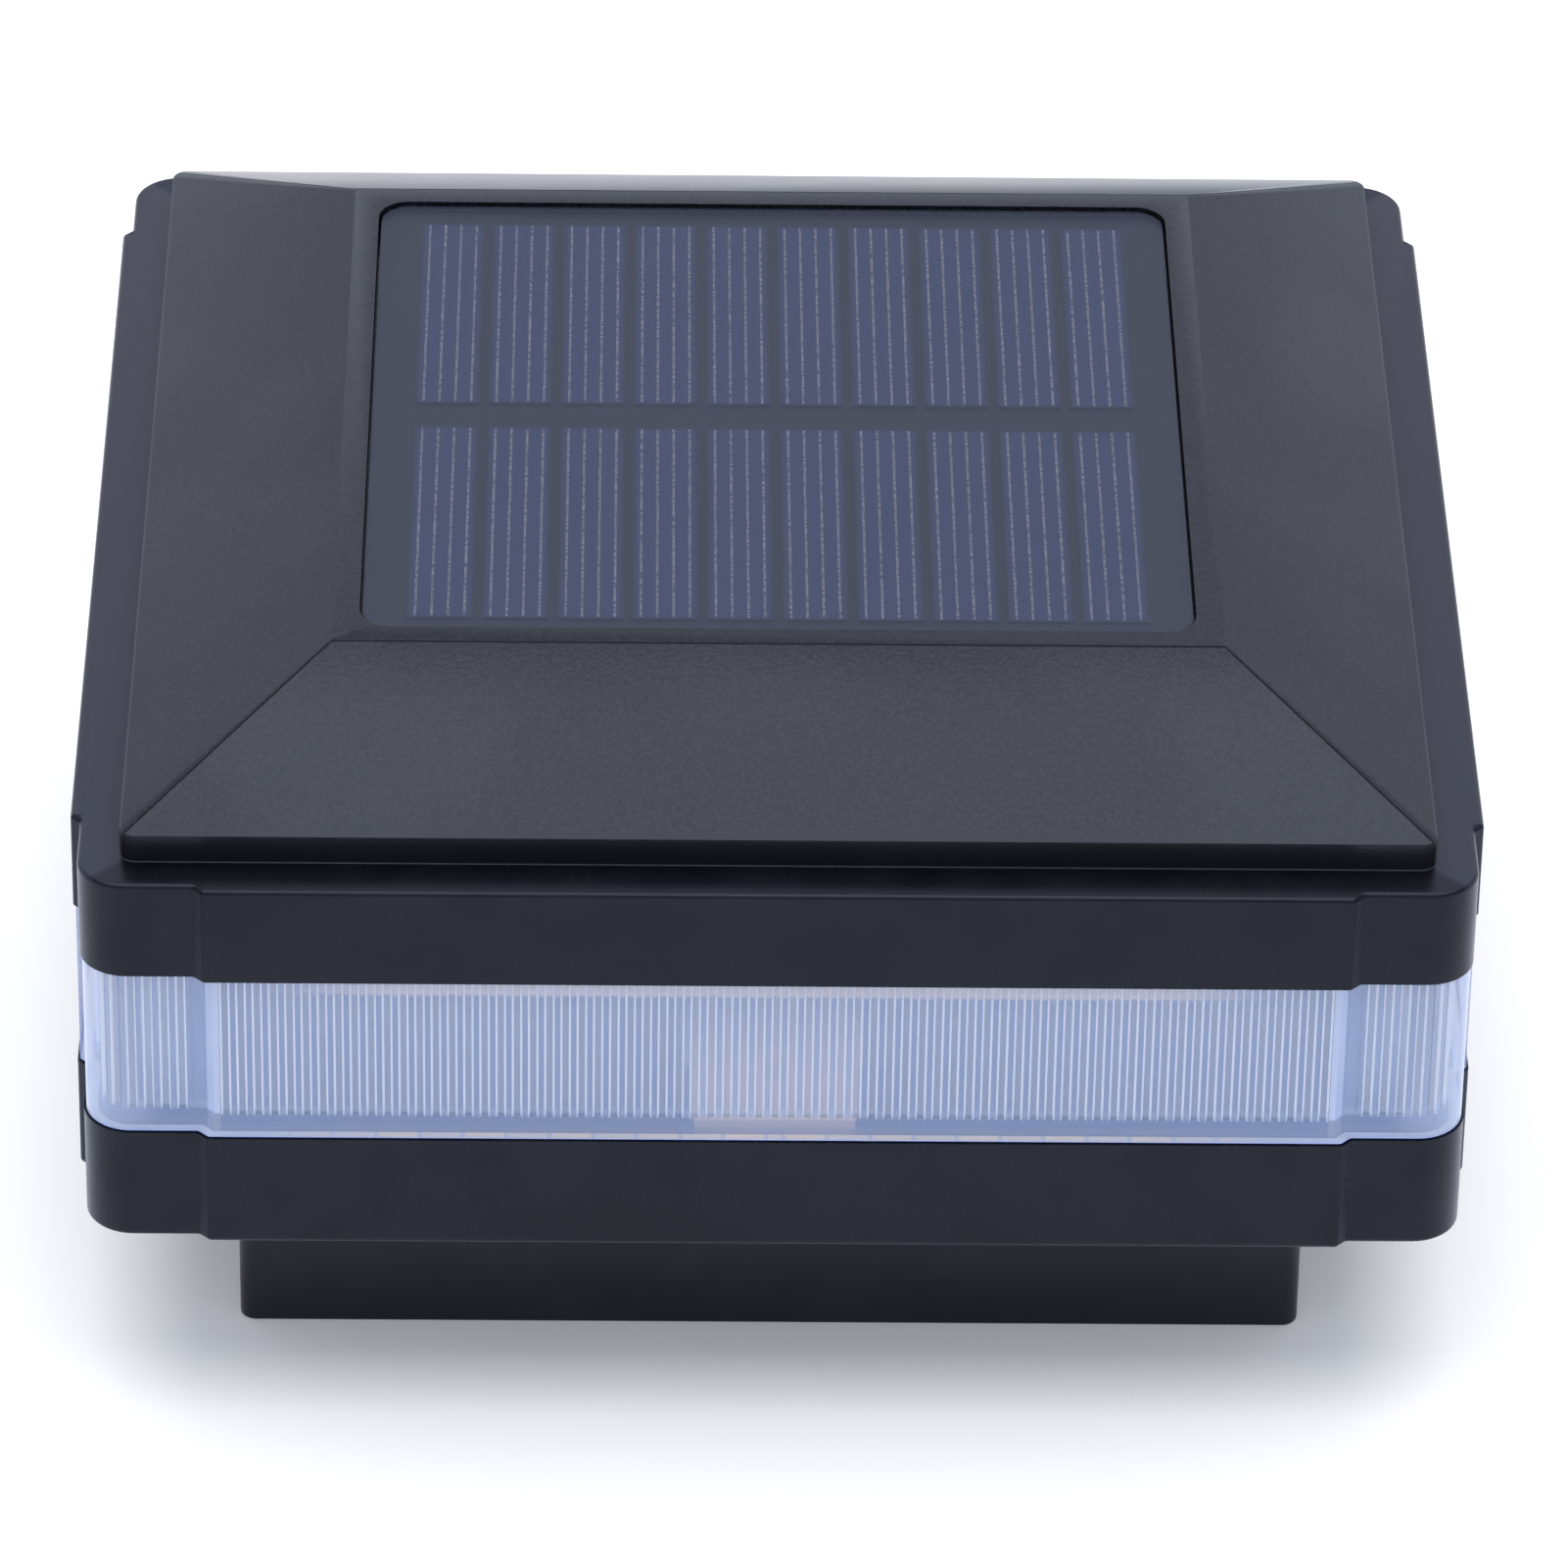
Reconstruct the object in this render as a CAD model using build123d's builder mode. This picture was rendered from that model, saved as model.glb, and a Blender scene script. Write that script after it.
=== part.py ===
from build123d import *
import os
from math import radians, tan

# Solar post cap light. Millimetres, +Z up, front towards -Y.
# The origin is in the middle of the sleeve's lower rim.

# Post sleeve
post_width = 127.0  # square post that the sleeve slides over
post_clearance = 0.7  # between post and sleeve, each side
sleeve_wall = 2.5
sleeve_drop = 26.4  # sleeve below the underside of the base
sleeve_corner = 2.0  # outer radius of the sleeve's upright edges
socket_corner = 1.0  # inner radius of the sleeve's upright edges
rim_round = 0.5
stop_height = 5.0  # ribs under the floor that rest on the post
stop_reach = 6.0
stop_thickness = 2.0
stop_spacing = 42.0
stops_per_side = 3

# Body in plan
base_overhang = 19.3  # body beyond the sleeve, each side
raised_margin = 16.6  # from a corner to the raised middle of a side
corner_step = 1.25  # how far the corners stand back, and how wide the slanted step is
step_angle = 45
corner_radius = 6.0
step_round = 0.8  # on the outer faces only
least_corner = 1.0  # smallest corner radius of an inner outline

# Heights of the stacked bands
base_height = 15.5
lens_height = 23.3
collar_height = 13.2
lip_height = 3.8
roof_rise = 12.1

# Black mouldings
shell_wall = 2.0
floor_thick = 2.2
plate_thick = 2.2  # top plate of the collar
edge_round = 0.6
nest_gap = 0.3  # between nested pieces

# Lens
lens_inset = 0.3  # lens face behind the black faces
lens_wall = 2.6
tongue_depth = 2.6  # lens edges that reach into the collar and the base
tongue_wall = 1.2
tongue_gap = 0.15
gasket_thick = 0.9
seat_reach = 4.0  # ledge that the lens seals against
seat_thick = 1.6

# Reflector and light boards
reflector_wall = 1.4
tub_depth = 10.5  # underside of the tub below the top of the base
light_gap = 17.0  # from the outer face to the reflector's upright wall
reflector_corner = 4.0
reflector_top_gap = 0.4  # under the roof's spigot
light_board_width = 22.0
light_board_height = 20.0
light_board_thick = 1.6
led_width = 2.8
led_height = 3.5
led_thick = 0.8
clip_width = 1.4
clip_lip = 0.9
led_lead_rise = 15.2  # wires of a light board above the tub floor
led_lead_lane = 5.0  # and beside the board's middle

# Roof
roof_setback = 6.4  # collar ledge in front of the lip
slope_run = 25.0  # width of a roof slope in plan
roof_wall = 2.2
roof_corner = 2.0
hip_round = 0.6
ledge_reach = 20.0  # from the outer face to the opening in the collar's plate
spigot_wall = 1.6
spigot_depth = 3.9

# Solar panel
panel_border = 3.3
panel_gap = 0.3
panel_recess = 0.4
panel_corner = 4.0
panel_floor = 1.8
adhesive_thick = 0.6
adhesive_width = 8.0
backing_thick = 1.0
cover_thick = 1.0
solar_cell_thick = 0.3
cell_columns = 10
cell_rows = 2
cell_side_margin = 5.4
cell_end_margin = 3.5
cell_gap = 1.08
row_gap = 5.7
lead_hole = 8.0
lead_hole_offset = 5.0  # behind the middle of the control board

# Battery, its bay and its door
battery_diameter = 18.4
battery_length = 65.0
nub_diameter = 8.0
nub_height = 1.2
battery_room = 0.6
bay_wall = 1.6
bay_y = -20.0
contact_width = 11.0
contact_height = 13.0
contact_thick = 0.5
leaf_depth = 3.4
leaf_land = 1.0
door_thick = 2.0
door_margin = 6.0
door_corner = 3.0
door_rim_height = 2.0
door_rim_wall = 1.2
door_seal_thick = 0.4
door_seal_width = 2.4
door_ear = 6.2  # from the bay to a door screw

# Control board and switch
board_width = 64.0
board_depth = 42.0
board_thick = 1.6
board_y = 25.0
board_standoff = 11.4
board_screw_x = 29.0
board_screw_y = 14.0
socket_width = 7.5
socket_depth = 5.8
socket_height = 6.0
socket_row = 17.0  # from the board's middle to a row of sockets
socket_lane = 6.0
side_socket_x = 20.0
board_corner = 2.0
chip_size = (5.0, 4.0, 1.6)
inductor_size = (7.3, 7.3, 4.2)
inductor_round = 1.5
coil_lane = 14.0  # coil and capacitor, either side of the chip
capacitor_diameter = 6.3
capacitor_height = 5.4
switch_size = 8.0
switch_height = 7.0
button_diameter = 10.0
button_stand = 2.6  # button below the underside of the floor
button_flange = 12.0
button_flange_thick = 1.0
button_travel = 2.0
plunger_diameter = 3.6
plunger_entry = 2.0  # plunger inside the switch at rest
guard_wall = 2.4
guard_height = 1.2
seal_wall = 1.4

# Screws
case_screw = 3.0
case_head = 5.6
case_head_height = 2.0
case_bore_depth = 3.0  # head pocket in the underside
case_grip = 7.0  # thread in the collar
column_diameter = 9.0  # round each case screw
column_margin = 0.45  # between a column and the tub's outer face
roof_screw_inset = 13.5
roof_grip = 4.0
small_screw = 2.6
small_head = 5.0
small_head_height = 1.7
small_boss = 6.4
small_boss_height = 6.0
small_grip = 5.0
thread_gap = 0.1
hole_gap = 0.25

# Wires
wire_diameter = 1.3
wire_pitch = 2.5
bend_share = 0.45  # of the shorter run that an arc takes up

# Worked-out positions
sleeve_half = post_width / 2 + post_clearance + sleeve_wall
socket_half = sleeve_half - sleeve_wall
body_half = sleeve_half + base_overhang
base_bottom = sleeve_drop
floor_top = base_bottom + floor_thick
stop_bottom = base_bottom - stop_height
base_top = base_bottom + base_height
lens_top = base_top + lens_height
collar_top = lens_top + collar_height
plate_bottom = collar_top - plate_thick
lip_top = collar_top + lip_height
platform_top = lip_top + roof_rise

tongue_inset = shell_wall + tongue_gap
tongue_back = tongue_inset + tongue_wall
seat_inset = shell_wall + seat_reach
base_seat = base_top - tongue_depth - gasket_thick
collar_seat = lens_top + tongue_depth + gasket_thick
lens_back = lens_inset + lens_wall

flange_inset = tongue_back + nest_gap
tub_inset = seat_inset + nest_gap
tub_bottom = base_top - tub_depth
tub_floor = tub_bottom + reflector_wall
light_wall_half = body_half - light_gap
reflector_top = collar_top - spigot_depth - reflector_top_gap
column_half = body_half - corner_step - tub_inset - column_margin - column_diameter / 2
column_top = lens_top + nest_gap
light_board_face = light_wall_half + light_board_thick

roof_half = body_half - roof_setback
platform_half = roof_half - slope_run
opening_half = body_half - ledge_reach
spigot_half = opening_half - nest_gap
roof_slope = roof_rise / slope_run
panel_half = platform_half - panel_border - panel_gap
panel_top = platform_top - panel_recess
backing_top = panel_top - cover_thick
backing_bottom = backing_top - backing_thick
recess_floor = backing_bottom - adhesive_thick
roof_ceiling = recess_floor - panel_floor

bay_half_length = (nub_height + battery_length + contact_thick + leaf_depth) / 2
bay_half_width = battery_diameter / 2 + battery_room
door_top = base_bottom - door_seal_thick
door_bottom = door_top - door_thick
battery_axis = door_top + battery_room + battery_diameter / 2
bay_ceiling = battery_axis + battery_diameter / 2 + battery_room
door_screw_x = bay_half_length + door_ear
door_half_width = bay_half_width + door_margin
door_half_length = door_screw_x + door_margin

board_bottom = floor_top + board_standoff
board_top = board_bottom + board_thick
socket_top = board_top + socket_height
switch_bottom = board_bottom - switch_height
button_bottom = base_bottom - button_stand
flange_bottom = floor_top + nest_gap
flange_top = flange_bottom + button_flange_thick
button_hole = button_diameter + 2 * nest_gap
plunger_top = switch_bottom + plunger_entry

sides = {"front": 0, "right": 90, "rear": 180, "left": 270}
front_row = board_y - socket_row
rear_row = board_y + socket_row
panel_socket_place = (-socket_lane, rear_row)
battery_socket_place = (-socket_lane, front_row)
panel_lead_place = (-socket_lane, board_y + lead_hole_offset)
# For each side: sideways place of its socket, and how far out from the middle the socket is
led_socket_places = {
    "front": (socket_lane, -front_row),
    "right": (front_row, side_socket_x),
    "rear": (-socket_lane, rear_row),
    "left": (-front_row, side_socket_x),
}
led_lead_lanes = {
    "front": led_lead_lane,
    "right": led_lead_lane,
    "rear": -led_lead_lane,
    "left": -led_lead_lane,
}
led_lead_crests = {"front": 16, "right": 11, "rear": 13, "left": 11}
led_lead_height = tub_floor + led_lead_rise

os.makedirs("parts", exist_ok=True)


def body_outline(inset, mode=Mode.ADD):
    """Plan of the body, inset from its outer face: a rounded square with a raised middle on each side."""
    face = body_half - inset
    stand_back = face - corner_step
    reach = body_half - raised_margin - inset * tan(radians(step_angle / 2))
    side = [(-reach - corner_step, -stand_back), (-reach, -face), (reach, -face)]
    side += [(reach + corner_step, -stand_back), (stand_back, -stand_back)]
    points = [Vector(*point).rotate(Axis.Z, turn) for turn in sides.values() for point in side]
    step_radius = step_round if inset <= lens_inset else 0
    radii = [step_radius] * 4 + [max(corner_radius - inset, least_corner)]
    with BuildLine() as outline:
        FilletPolyline(*points, radius=radii * len(sides), close=True)
    make_face(outline.edges(), mode=mode)


def body_ring(outer_inset, inner_inset, bottom, top):
    """Add a band that follows the body's outline between two insets and two heights."""
    with BuildSketch(Plane.XY.offset(bottom)) as band:
        body_outline(outer_inset)
        body_outline(inner_inset, mode=Mode.SUBTRACT)
    extrude(band.sketch, amount=top - bottom)


def square(half, radius, mode=Mode.ADD):
    """Centred square with rounded corners."""
    RectangleRounded(2 * half, 2 * half, radius, mode=mode)


def side_plane(turn, distance, height):
    """Upright plane on one side, facing outwards, with its own Y up. Turn 0 is the front."""
    outward = Vector(0, -1, 0).rotate(Axis.Z, turn)
    along = Vector(1, 0, 0).rotate(Axis.Z, turn)
    return Plane(origin=outward * distance + Vector(0, 0, height), x_dir=along, z_dir=outward)


def roof_height(half):
    """Height of the roof's outer surface at a distance from the middle."""
    return lip_top + (roof_half - half) * roof_slope


def posts(places, bottom, top, diameter):
    """Add round posts between two heights."""
    with BuildSketch(Plane.XY.offset(bottom)) as rounds:
        with Locations(*places):
            Circle(diameter / 2)
    extrude(rounds.sketch, amount=top - bottom)


def bore_holes(places, bottom, top, diameter):
    """Cut round holes between two heights."""
    with BuildSketch(Plane.XY.offset(bottom)) as rounds:
        with Locations(*places):
            Circle(diameter / 2)
    extrude(rounds.sketch, amount=top - bottom, mode=Mode.SUBTRACT)


def pan_screw(places, seat, length, diameter, head, head_height, upward=True):
    """Add screws whose round heads sit on a face at the height seat."""
    way = 1 if upward else -1
    posts(places, seat, seat - way * head_height, head)
    posts(places, seat, seat + way * length, diameter)


def bend_radii(points):
    """Largest arc radii that the runs between the points allow."""
    spots = [Vector(*point) for point in points]
    radii = []
    for before, corner, after in zip(spots, spots[1:], spots[2:]):
        arriving = corner - before
        leaving = after - corner
        turn = arriving.get_angle(leaving)
        radii.append(bend_share * min(arriving.length, leaving.length) / tan(radians(turn / 2)))
    return radii


def wire(points):
    """Add one wire of straight runs and tangent arcs, and return its section times its length."""
    radii = bend_radii(points)
    print("wire bend radii", [round(radius, 1) for radius in radii])
    with BuildLine() as path:
        FilletPolyline(*points, radius=radii)
    with BuildSketch(Plane(origin=path.line @ 0, z_dir=path.line % 0)) as section:
        Circle(wire_diameter / 2)
    sweep(section.sketch, path=path.line)
    return section.sketch.area * path.wire().length


column_places = [(x * column_half, y * column_half) for x in (-1, 1) for y in (-1, 1)]
roof_screw_half = body_half - roof_screw_inset
roof_screw_places = [(roof_screw_half, 0), (-roof_screw_half, 0), (0, roof_screw_half), (0, -roof_screw_half)]
board_screw_places = [
    (x * board_screw_x, board_y + y * board_screw_y) for x in (-1, 1) for y in (-1, 1)
]
door_screw_places = [(-door_screw_x, bay_y), (door_screw_x, bay_y)]
contact_lead_x = bay_half_length - wire_diameter / 2 - thread_gap

# Base tray: black band, floor with stops for the post, battery bay and bosses
with BuildPart() as base_tray:
    with BuildSketch(Plane.XY.offset(base_bottom)):
        body_outline(0)
    extrude(amount=base_height)
    fillet(base_tray.faces().sort_by(Axis.Z)[0].edges(), radius=edge_round)
    with BuildSketch(Plane.XY.offset(floor_top)):
        body_outline(shell_wall)
    extrude(amount=base_height, mode=Mode.SUBTRACT)
    body_ring(shell_wall / 2, seat_inset, base_seat - seat_thick, base_seat)
    for turn in sides.values():
        with BuildSketch(side_plane(turn, socket_half - nest_gap, stop_bottom)):
            with GridLocations(stop_spacing, 0, stops_per_side, 1):
                Rectangle(stop_thickness, stop_height, align=(Align.CENTER, Align.MIN))
        extrude(amount=-stop_reach)
    # Battery bay, open downwards
    with BuildSketch(Plane.XY.offset(base_bottom)):
        with Locations((0, bay_y)):
            Rectangle(2 * (bay_half_length + bay_wall), 2 * (bay_half_width + bay_wall))
    extrude(amount=bay_ceiling + bay_wall - base_bottom)
    with BuildSketch(Plane.XY.offset(base_bottom)):
        with Locations((0, bay_y)):
            Rectangle(2 * bay_half_length, 2 * bay_half_width)
    extrude(amount=bay_ceiling - base_bottom, mode=Mode.SUBTRACT)
    contact_lead_places = [(-contact_lead_x, bay_y), (contact_lead_x, bay_y)]
    bore_holes(contact_lead_places, bay_ceiling, bay_ceiling + bay_wall, wire_diameter + 2 * hole_gap)
    # Bosses for the door, board and case screws
    posts(door_screw_places, floor_top, floor_top + small_boss_height, small_boss)
    door_thread_top = base_bottom + small_grip + hole_gap
    bore_holes(door_screw_places, base_bottom, door_thread_top, small_screw + 2 * thread_gap)
    posts(board_screw_places, floor_top, board_bottom, small_boss)
    bore_holes(board_screw_places, board_bottom - small_grip, board_bottom, small_screw + 2 * thread_gap)
    posts(column_places, floor_top, tub_bottom, column_diameter)
    bore_holes(column_places, base_bottom, tub_bottom, case_screw + 2 * hole_gap)
    bore_holes(column_places, base_bottom, base_bottom + case_bore_depth, case_head + 2 * hole_gap)
    # Switch hole with a low guard round it
    with BuildSketch(Plane.XY.offset(base_bottom - guard_height)):
        with Locations((0, board_y)):
            Circle(button_hole / 2 + guard_wall)
    extrude(amount=guard_height)
    bore_holes([(0, board_y)], base_bottom - guard_height, floor_top, button_hole)
base_tray.part.label = "base_tray"
export_step(base_tray.part, "parts/base_tray.step")

# Post sleeve: square skirt welded to the underside of the base
with BuildPart() as post_sleeve:
    with BuildSketch():
        square(sleeve_half, sleeve_corner)
        square(socket_half, socket_corner, mode=Mode.SUBTRACT)
    extrude(amount=sleeve_drop)
    fillet(post_sleeve.edges().group_by(Axis.Z)[0], radius=rim_round)
post_sleeve.part.label = "post_sleeve"
export_step(post_sleeve.part, "parts/post_sleeve.step")

# Lens: clear band with a tongue above and below
with BuildPart() as lens_ring:
    body_ring(lens_inset, lens_back, base_top, lens_top)
    body_ring(tongue_inset, tongue_back, base_top - tongue_depth, lens_top + tongue_depth)
lens_ring.part.label = "lens_ring"
export_step(lens_ring.part, "parts/lens_ring.step")

# Lens seals
with BuildPart() as collar_gasket:
    body_ring(tongue_inset, tongue_back, lens_top + tongue_depth, collar_seat)
collar_gasket.part.label = "collar_gasket"
export_step(collar_gasket.part, "parts/collar_gasket.step")

with BuildPart() as base_gasket:
    body_ring(tongue_inset, tongue_back, base_seat, base_top - tongue_depth)
base_gasket.part.label = "base_gasket"
export_step(base_gasket.part, "parts/base_gasket.step")

# Upper collar: black band and plate under the roof
with BuildPart() as upper_collar:
    with BuildSketch(Plane.XY.offset(lens_top)):
        body_outline(0)
    extrude(amount=collar_height)
    fillet(upper_collar.faces().sort_by(Axis.Z)[-1].edges(), radius=edge_round)
    with BuildSketch(Plane.XY.offset(lens_top)):
        body_outline(shell_wall)
    extrude(amount=plate_bottom - lens_top, mode=Mode.SUBTRACT)
    body_ring(shell_wall / 2, seat_inset, collar_seat, collar_seat + seat_thick)
    with BuildSketch(Plane.XY.offset(plate_bottom)):
        square(opening_half, reflector_corner)
    extrude(amount=plate_thick, mode=Mode.SUBTRACT)
    posts(column_places, column_top, plate_bottom, column_diameter)
    bore_holes(column_places, column_top, column_top + case_grip + hole_gap, case_screw + 2 * thread_gap)
    bore_holes(roof_screw_places, plate_bottom, collar_top, small_screw + 2 * hole_gap)
upper_collar.part.label = "upper_collar"
export_step(upper_collar.part, "parts/upper_collar.step")

# Reflector: white tub round the lamp chamber, with columns for the case screws
with BuildPart() as reflector:
    body_ring(flange_inset, tub_inset + reflector_wall, base_seat, base_seat + reflector_wall)
    body_ring(tub_inset, tub_inset + reflector_wall, tub_bottom, base_seat + reflector_wall)
    with BuildSketch(Plane.XY.offset(tub_bottom)):
        body_outline(tub_inset)
        square(light_wall_half - reflector_wall, reflector_corner, mode=Mode.SUBTRACT)
    extrude(amount=reflector_wall)
    with BuildSketch(Plane.XY.offset(tub_bottom)):
        square(light_wall_half, reflector_corner)
        square(light_wall_half - reflector_wall, reflector_corner, mode=Mode.SUBTRACT)
    extrude(amount=reflector_top - tub_bottom)
    posts(column_places, tub_bottom, column_top, column_diameter)
    bore_holes(column_places, tub_bottom, column_top, case_screw + 2 * hole_gap)
    clip_place = light_board_width / 2 + nest_gap + clip_width / 2
    for side, turn in sides.items():
        # Clips beside each light board, with lips that hold its edges
        with BuildSketch(side_plane(turn, light_wall_half, tub_floor)):
            with Locations((-clip_place, 0), (clip_place, 0)):
                Rectangle(clip_width, light_board_height / 2, align=(Align.CENTER, Align.MIN))
        extrude(amount=light_board_thick + nest_gap + clip_lip)
        with BuildSketch(side_plane(turn, light_board_face + nest_gap, tub_floor)):
            with Locations((-clip_place + clip_lip, 0), (clip_place - clip_lip, 0)):
                Rectangle(clip_width, light_board_height / 2, align=(Align.CENTER, Align.MIN))
        extrude(amount=clip_lip)
        # Slot for the wires of the light board
        with BuildSketch(side_plane(turn, light_wall_half, led_lead_height)):
            with Locations((led_lead_lanes[side], 0)):
                Rectangle(wire_pitch + wire_diameter + 2 * hole_gap, wire_diameter + 2 * hole_gap)
        extrude(amount=-reflector_wall, mode=Mode.SUBTRACT)
reflector.part.label = "reflector"
export_step(reflector.part, "parts/reflector.step")

# Light boards and their emitters
for side, turn in sides.items():
    with BuildPart() as light_board:
        with BuildSketch(side_plane(turn, light_wall_half, tub_floor)):
            Rectangle(light_board_width, light_board_height, align=(Align.CENTER, Align.MIN))
        extrude(amount=light_board_thick)
    light_board.part.label = f"led_board_{side}"
    export_step(light_board.part, f"parts/led_board_{side}.step")

with BuildPart() as leds:
    for turn in sides.values():
        with BuildSketch(side_plane(turn, light_board_face, tub_floor + light_board_height / 2)):
            Rectangle(led_width, led_height)
        extrude(amount=led_thick)
leds.part.label = "leds"
export_step(leds.part, "parts/leds.step")

# Roof: lip, four slopes, platform with a recess for the panel, spigot into the collar
with BuildPart() as roof_cover:
    with BuildSketch(Plane.XY.offset(collar_top)):
        square(roof_half, roof_corner)
    extrude(amount=lip_height)
    with BuildSketch(Plane.XY.offset(lip_top)):
        square(roof_half, roof_corner)
    with BuildSketch(Plane.XY.offset(platform_top)):
        square(platform_half, hip_round)
    loft(ruled=True)
    # Hollow under the slopes
    wall_drop = roof_wall * (1 + roof_slope**2) ** 0.5
    hollow_half = roof_half - roof_wall
    hollow_shoulder = roof_height(hollow_half) - wall_drop
    ceiling_half = hollow_half - (roof_ceiling - hollow_shoulder) / roof_slope
    with BuildSketch(Plane.XY.offset(collar_top)):
        square(hollow_half, hip_round)
    extrude(amount=hollow_shoulder - collar_top, mode=Mode.SUBTRACT)
    with BuildSketch(Plane.XY.offset(hollow_shoulder)):
        square(hollow_half, hip_round)
    with BuildSketch(Plane.XY.offset(roof_ceiling)):
        square(ceiling_half, hip_round)
    loft(ruled=True, mode=Mode.SUBTRACT)
    # Recess for the panel, with a hole for its lead
    with BuildSketch(Plane.XY.offset(recess_floor)):
        square(panel_half + panel_gap, panel_corner)
    extrude(amount=platform_top - recess_floor, mode=Mode.SUBTRACT)
    bore_holes([panel_lead_place], roof_ceiling, recess_floor, lead_hole)
    # Spigot and screw bosses
    with BuildSketch(Plane.XY.offset(collar_top - spigot_depth)):
        square(spigot_half, reflector_corner)
        square(spigot_half - spigot_wall, reflector_corner, mode=Mode.SUBTRACT)
    extrude(amount=roof_height(spigot_half) - wall_drop / 2 - collar_top + spigot_depth)
    boss_top = roof_height(roof_screw_half + small_boss / 2) - wall_drop / 2
    posts(roof_screw_places, collar_top, boss_top, small_boss)
    bore_holes(roof_screw_places, collar_top, collar_top + roof_grip, small_screw + 2 * thread_gap)
roof_cover.part.label = "roof_cover"
export_step(roof_cover.part, "parts/roof_cover.step")

# Solar panel: adhesive frame, board, cell strips and clear cover
with BuildPart() as panel_adhesive:
    with BuildSketch(Plane.XY.offset(recess_floor)):
        square(panel_half, panel_corner)
        square(panel_half - adhesive_width, panel_corner, mode=Mode.SUBTRACT)
    extrude(amount=adhesive_thick)
panel_adhesive.part.label = "panel_adhesive"
export_step(panel_adhesive.part, "parts/panel_adhesive.step")

with BuildPart() as panel_backing:
    with BuildSketch(Plane.XY.offset(backing_bottom)):
        square(panel_half, panel_corner)
    extrude(amount=backing_thick)
panel_backing.part.label = "panel_backing"
export_step(panel_backing.part, "parts/panel_backing.step")

cell_width = (2 * panel_half - 2 * cell_side_margin - (cell_columns - 1) * cell_gap) / cell_columns
cell_depth = (2 * panel_half - 2 * cell_end_margin - (cell_rows - 1) * row_gap) / cell_rows
with BuildPart() as solar_cells:
    with BuildSketch(Plane.XY.offset(backing_top)):
        with GridLocations(cell_width + cell_gap, cell_depth + row_gap, cell_columns, cell_rows):
            Rectangle(cell_width, cell_depth)
    extrude(amount=solar_cell_thick)
solar_cells.part.label = "solar_cells"
export_step(solar_cells.part, "parts/solar_cells.step")

with BuildPart() as panel_cover:
    with BuildSketch(Plane.XY.offset(backing_top)):
        square(panel_half, panel_corner)
    extrude(amount=cover_thick)
    with BuildSketch(Plane.XY.offset(backing_top)):
        with GridLocations(cell_width + cell_gap, cell_depth + row_gap, cell_columns, cell_rows):
            Rectangle(cell_width, cell_depth)
    extrude(amount=solar_cell_thick, mode=Mode.SUBTRACT)
panel_cover.part.label = "panel_cover"
export_step(panel_cover.part, "parts/panel_cover.step")

# Battery, its contacts and its door
with BuildPart() as battery_cell:
    battery_end = bay_half_length - contact_thick - nub_height
    with BuildSketch(Plane.YZ.offset(battery_end - battery_length)):
        with Locations((bay_y, battery_axis)):
            Circle(battery_diameter / 2)
    extrude(amount=battery_length)
    with BuildSketch(Plane.YZ.offset(battery_end)):
        with Locations((bay_y, battery_axis)):
            Circle(nub_diameter / 2)
    extrude(amount=nub_height)
battery_cell.part.label = "battery_cell"
export_step(battery_cell.part, "parts/battery_cell.step")

with BuildPart() as battery_contact_positive:
    with BuildSketch(Plane.YZ.offset(bay_half_length - contact_thick)):
        with Locations((bay_y, battery_axis)):
            Rectangle(contact_width, contact_height)
    extrude(amount=contact_thick)
battery_contact_positive.part.label = "battery_contact_positive"
export_step(battery_contact_positive.part, "parts/battery_contact_positive.step")

with BuildPart() as battery_contact_negative:
    foot = battery_axis - contact_height / 2
    wall_face = -bay_half_length
    leaf_tip = wall_face + leaf_depth
    with BuildSketch(Plane.XZ.offset(-bay_y)):
        with BuildLine():
            Polyline(
                (wall_face, foot),
                (wall_face + contact_thick, foot),
                (leaf_tip, battery_axis - leaf_land),
                (leaf_tip, battery_axis + leaf_land),
                (leaf_tip - contact_thick, battery_axis + leaf_land),
                (leaf_tip - contact_thick, battery_axis - leaf_land),
                (wall_face + contact_thick, foot + 2 * contact_thick),
                (wall_face + contact_thick, foot + contact_height),
                (wall_face, foot + contact_height),
                close=True,
            )
        make_face()
    extrude(amount=contact_width / 2, both=True)
battery_contact_negative.part.label = "battery_contact_negative"
export_step(battery_contact_negative.part, "parts/battery_contact_negative.step")

with BuildPart() as battery_door:
    with BuildSketch(Plane.XY.offset(door_bottom)):
        with Locations((0, bay_y)):
            RectangleRounded(2 * door_half_length, 2 * door_half_width, door_corner)
    extrude(amount=door_thick)
    fillet(battery_door.edges().group_by(Axis.Z)[0], radius=edge_round)
    rim_half_length = bay_half_length - nest_gap
    rim_half_width = bay_half_width - nest_gap
    with BuildSketch(Plane.XY.offset(door_top)):
        with Locations((0, bay_y)):
            Rectangle(2 * rim_half_length, 2 * rim_half_width)
            Rectangle(
                2 * (rim_half_length - door_rim_wall),
                2 * (rim_half_width - door_rim_wall),
                mode=Mode.SUBTRACT,
            )
    extrude(amount=door_rim_height)
    with Locations(Plane(origin=(0, bay_y, door_bottom), z_dir=(0, 0, -1))):
        with Locations((-door_screw_x, 0), (door_screw_x, 0)):
            CounterSinkHole(small_screw / 2 + hole_gap, small_head / 2 + hole_gap)
battery_door.part.label = "battery_door"
export_step(battery_door.part, "parts/battery_door.step")

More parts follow.
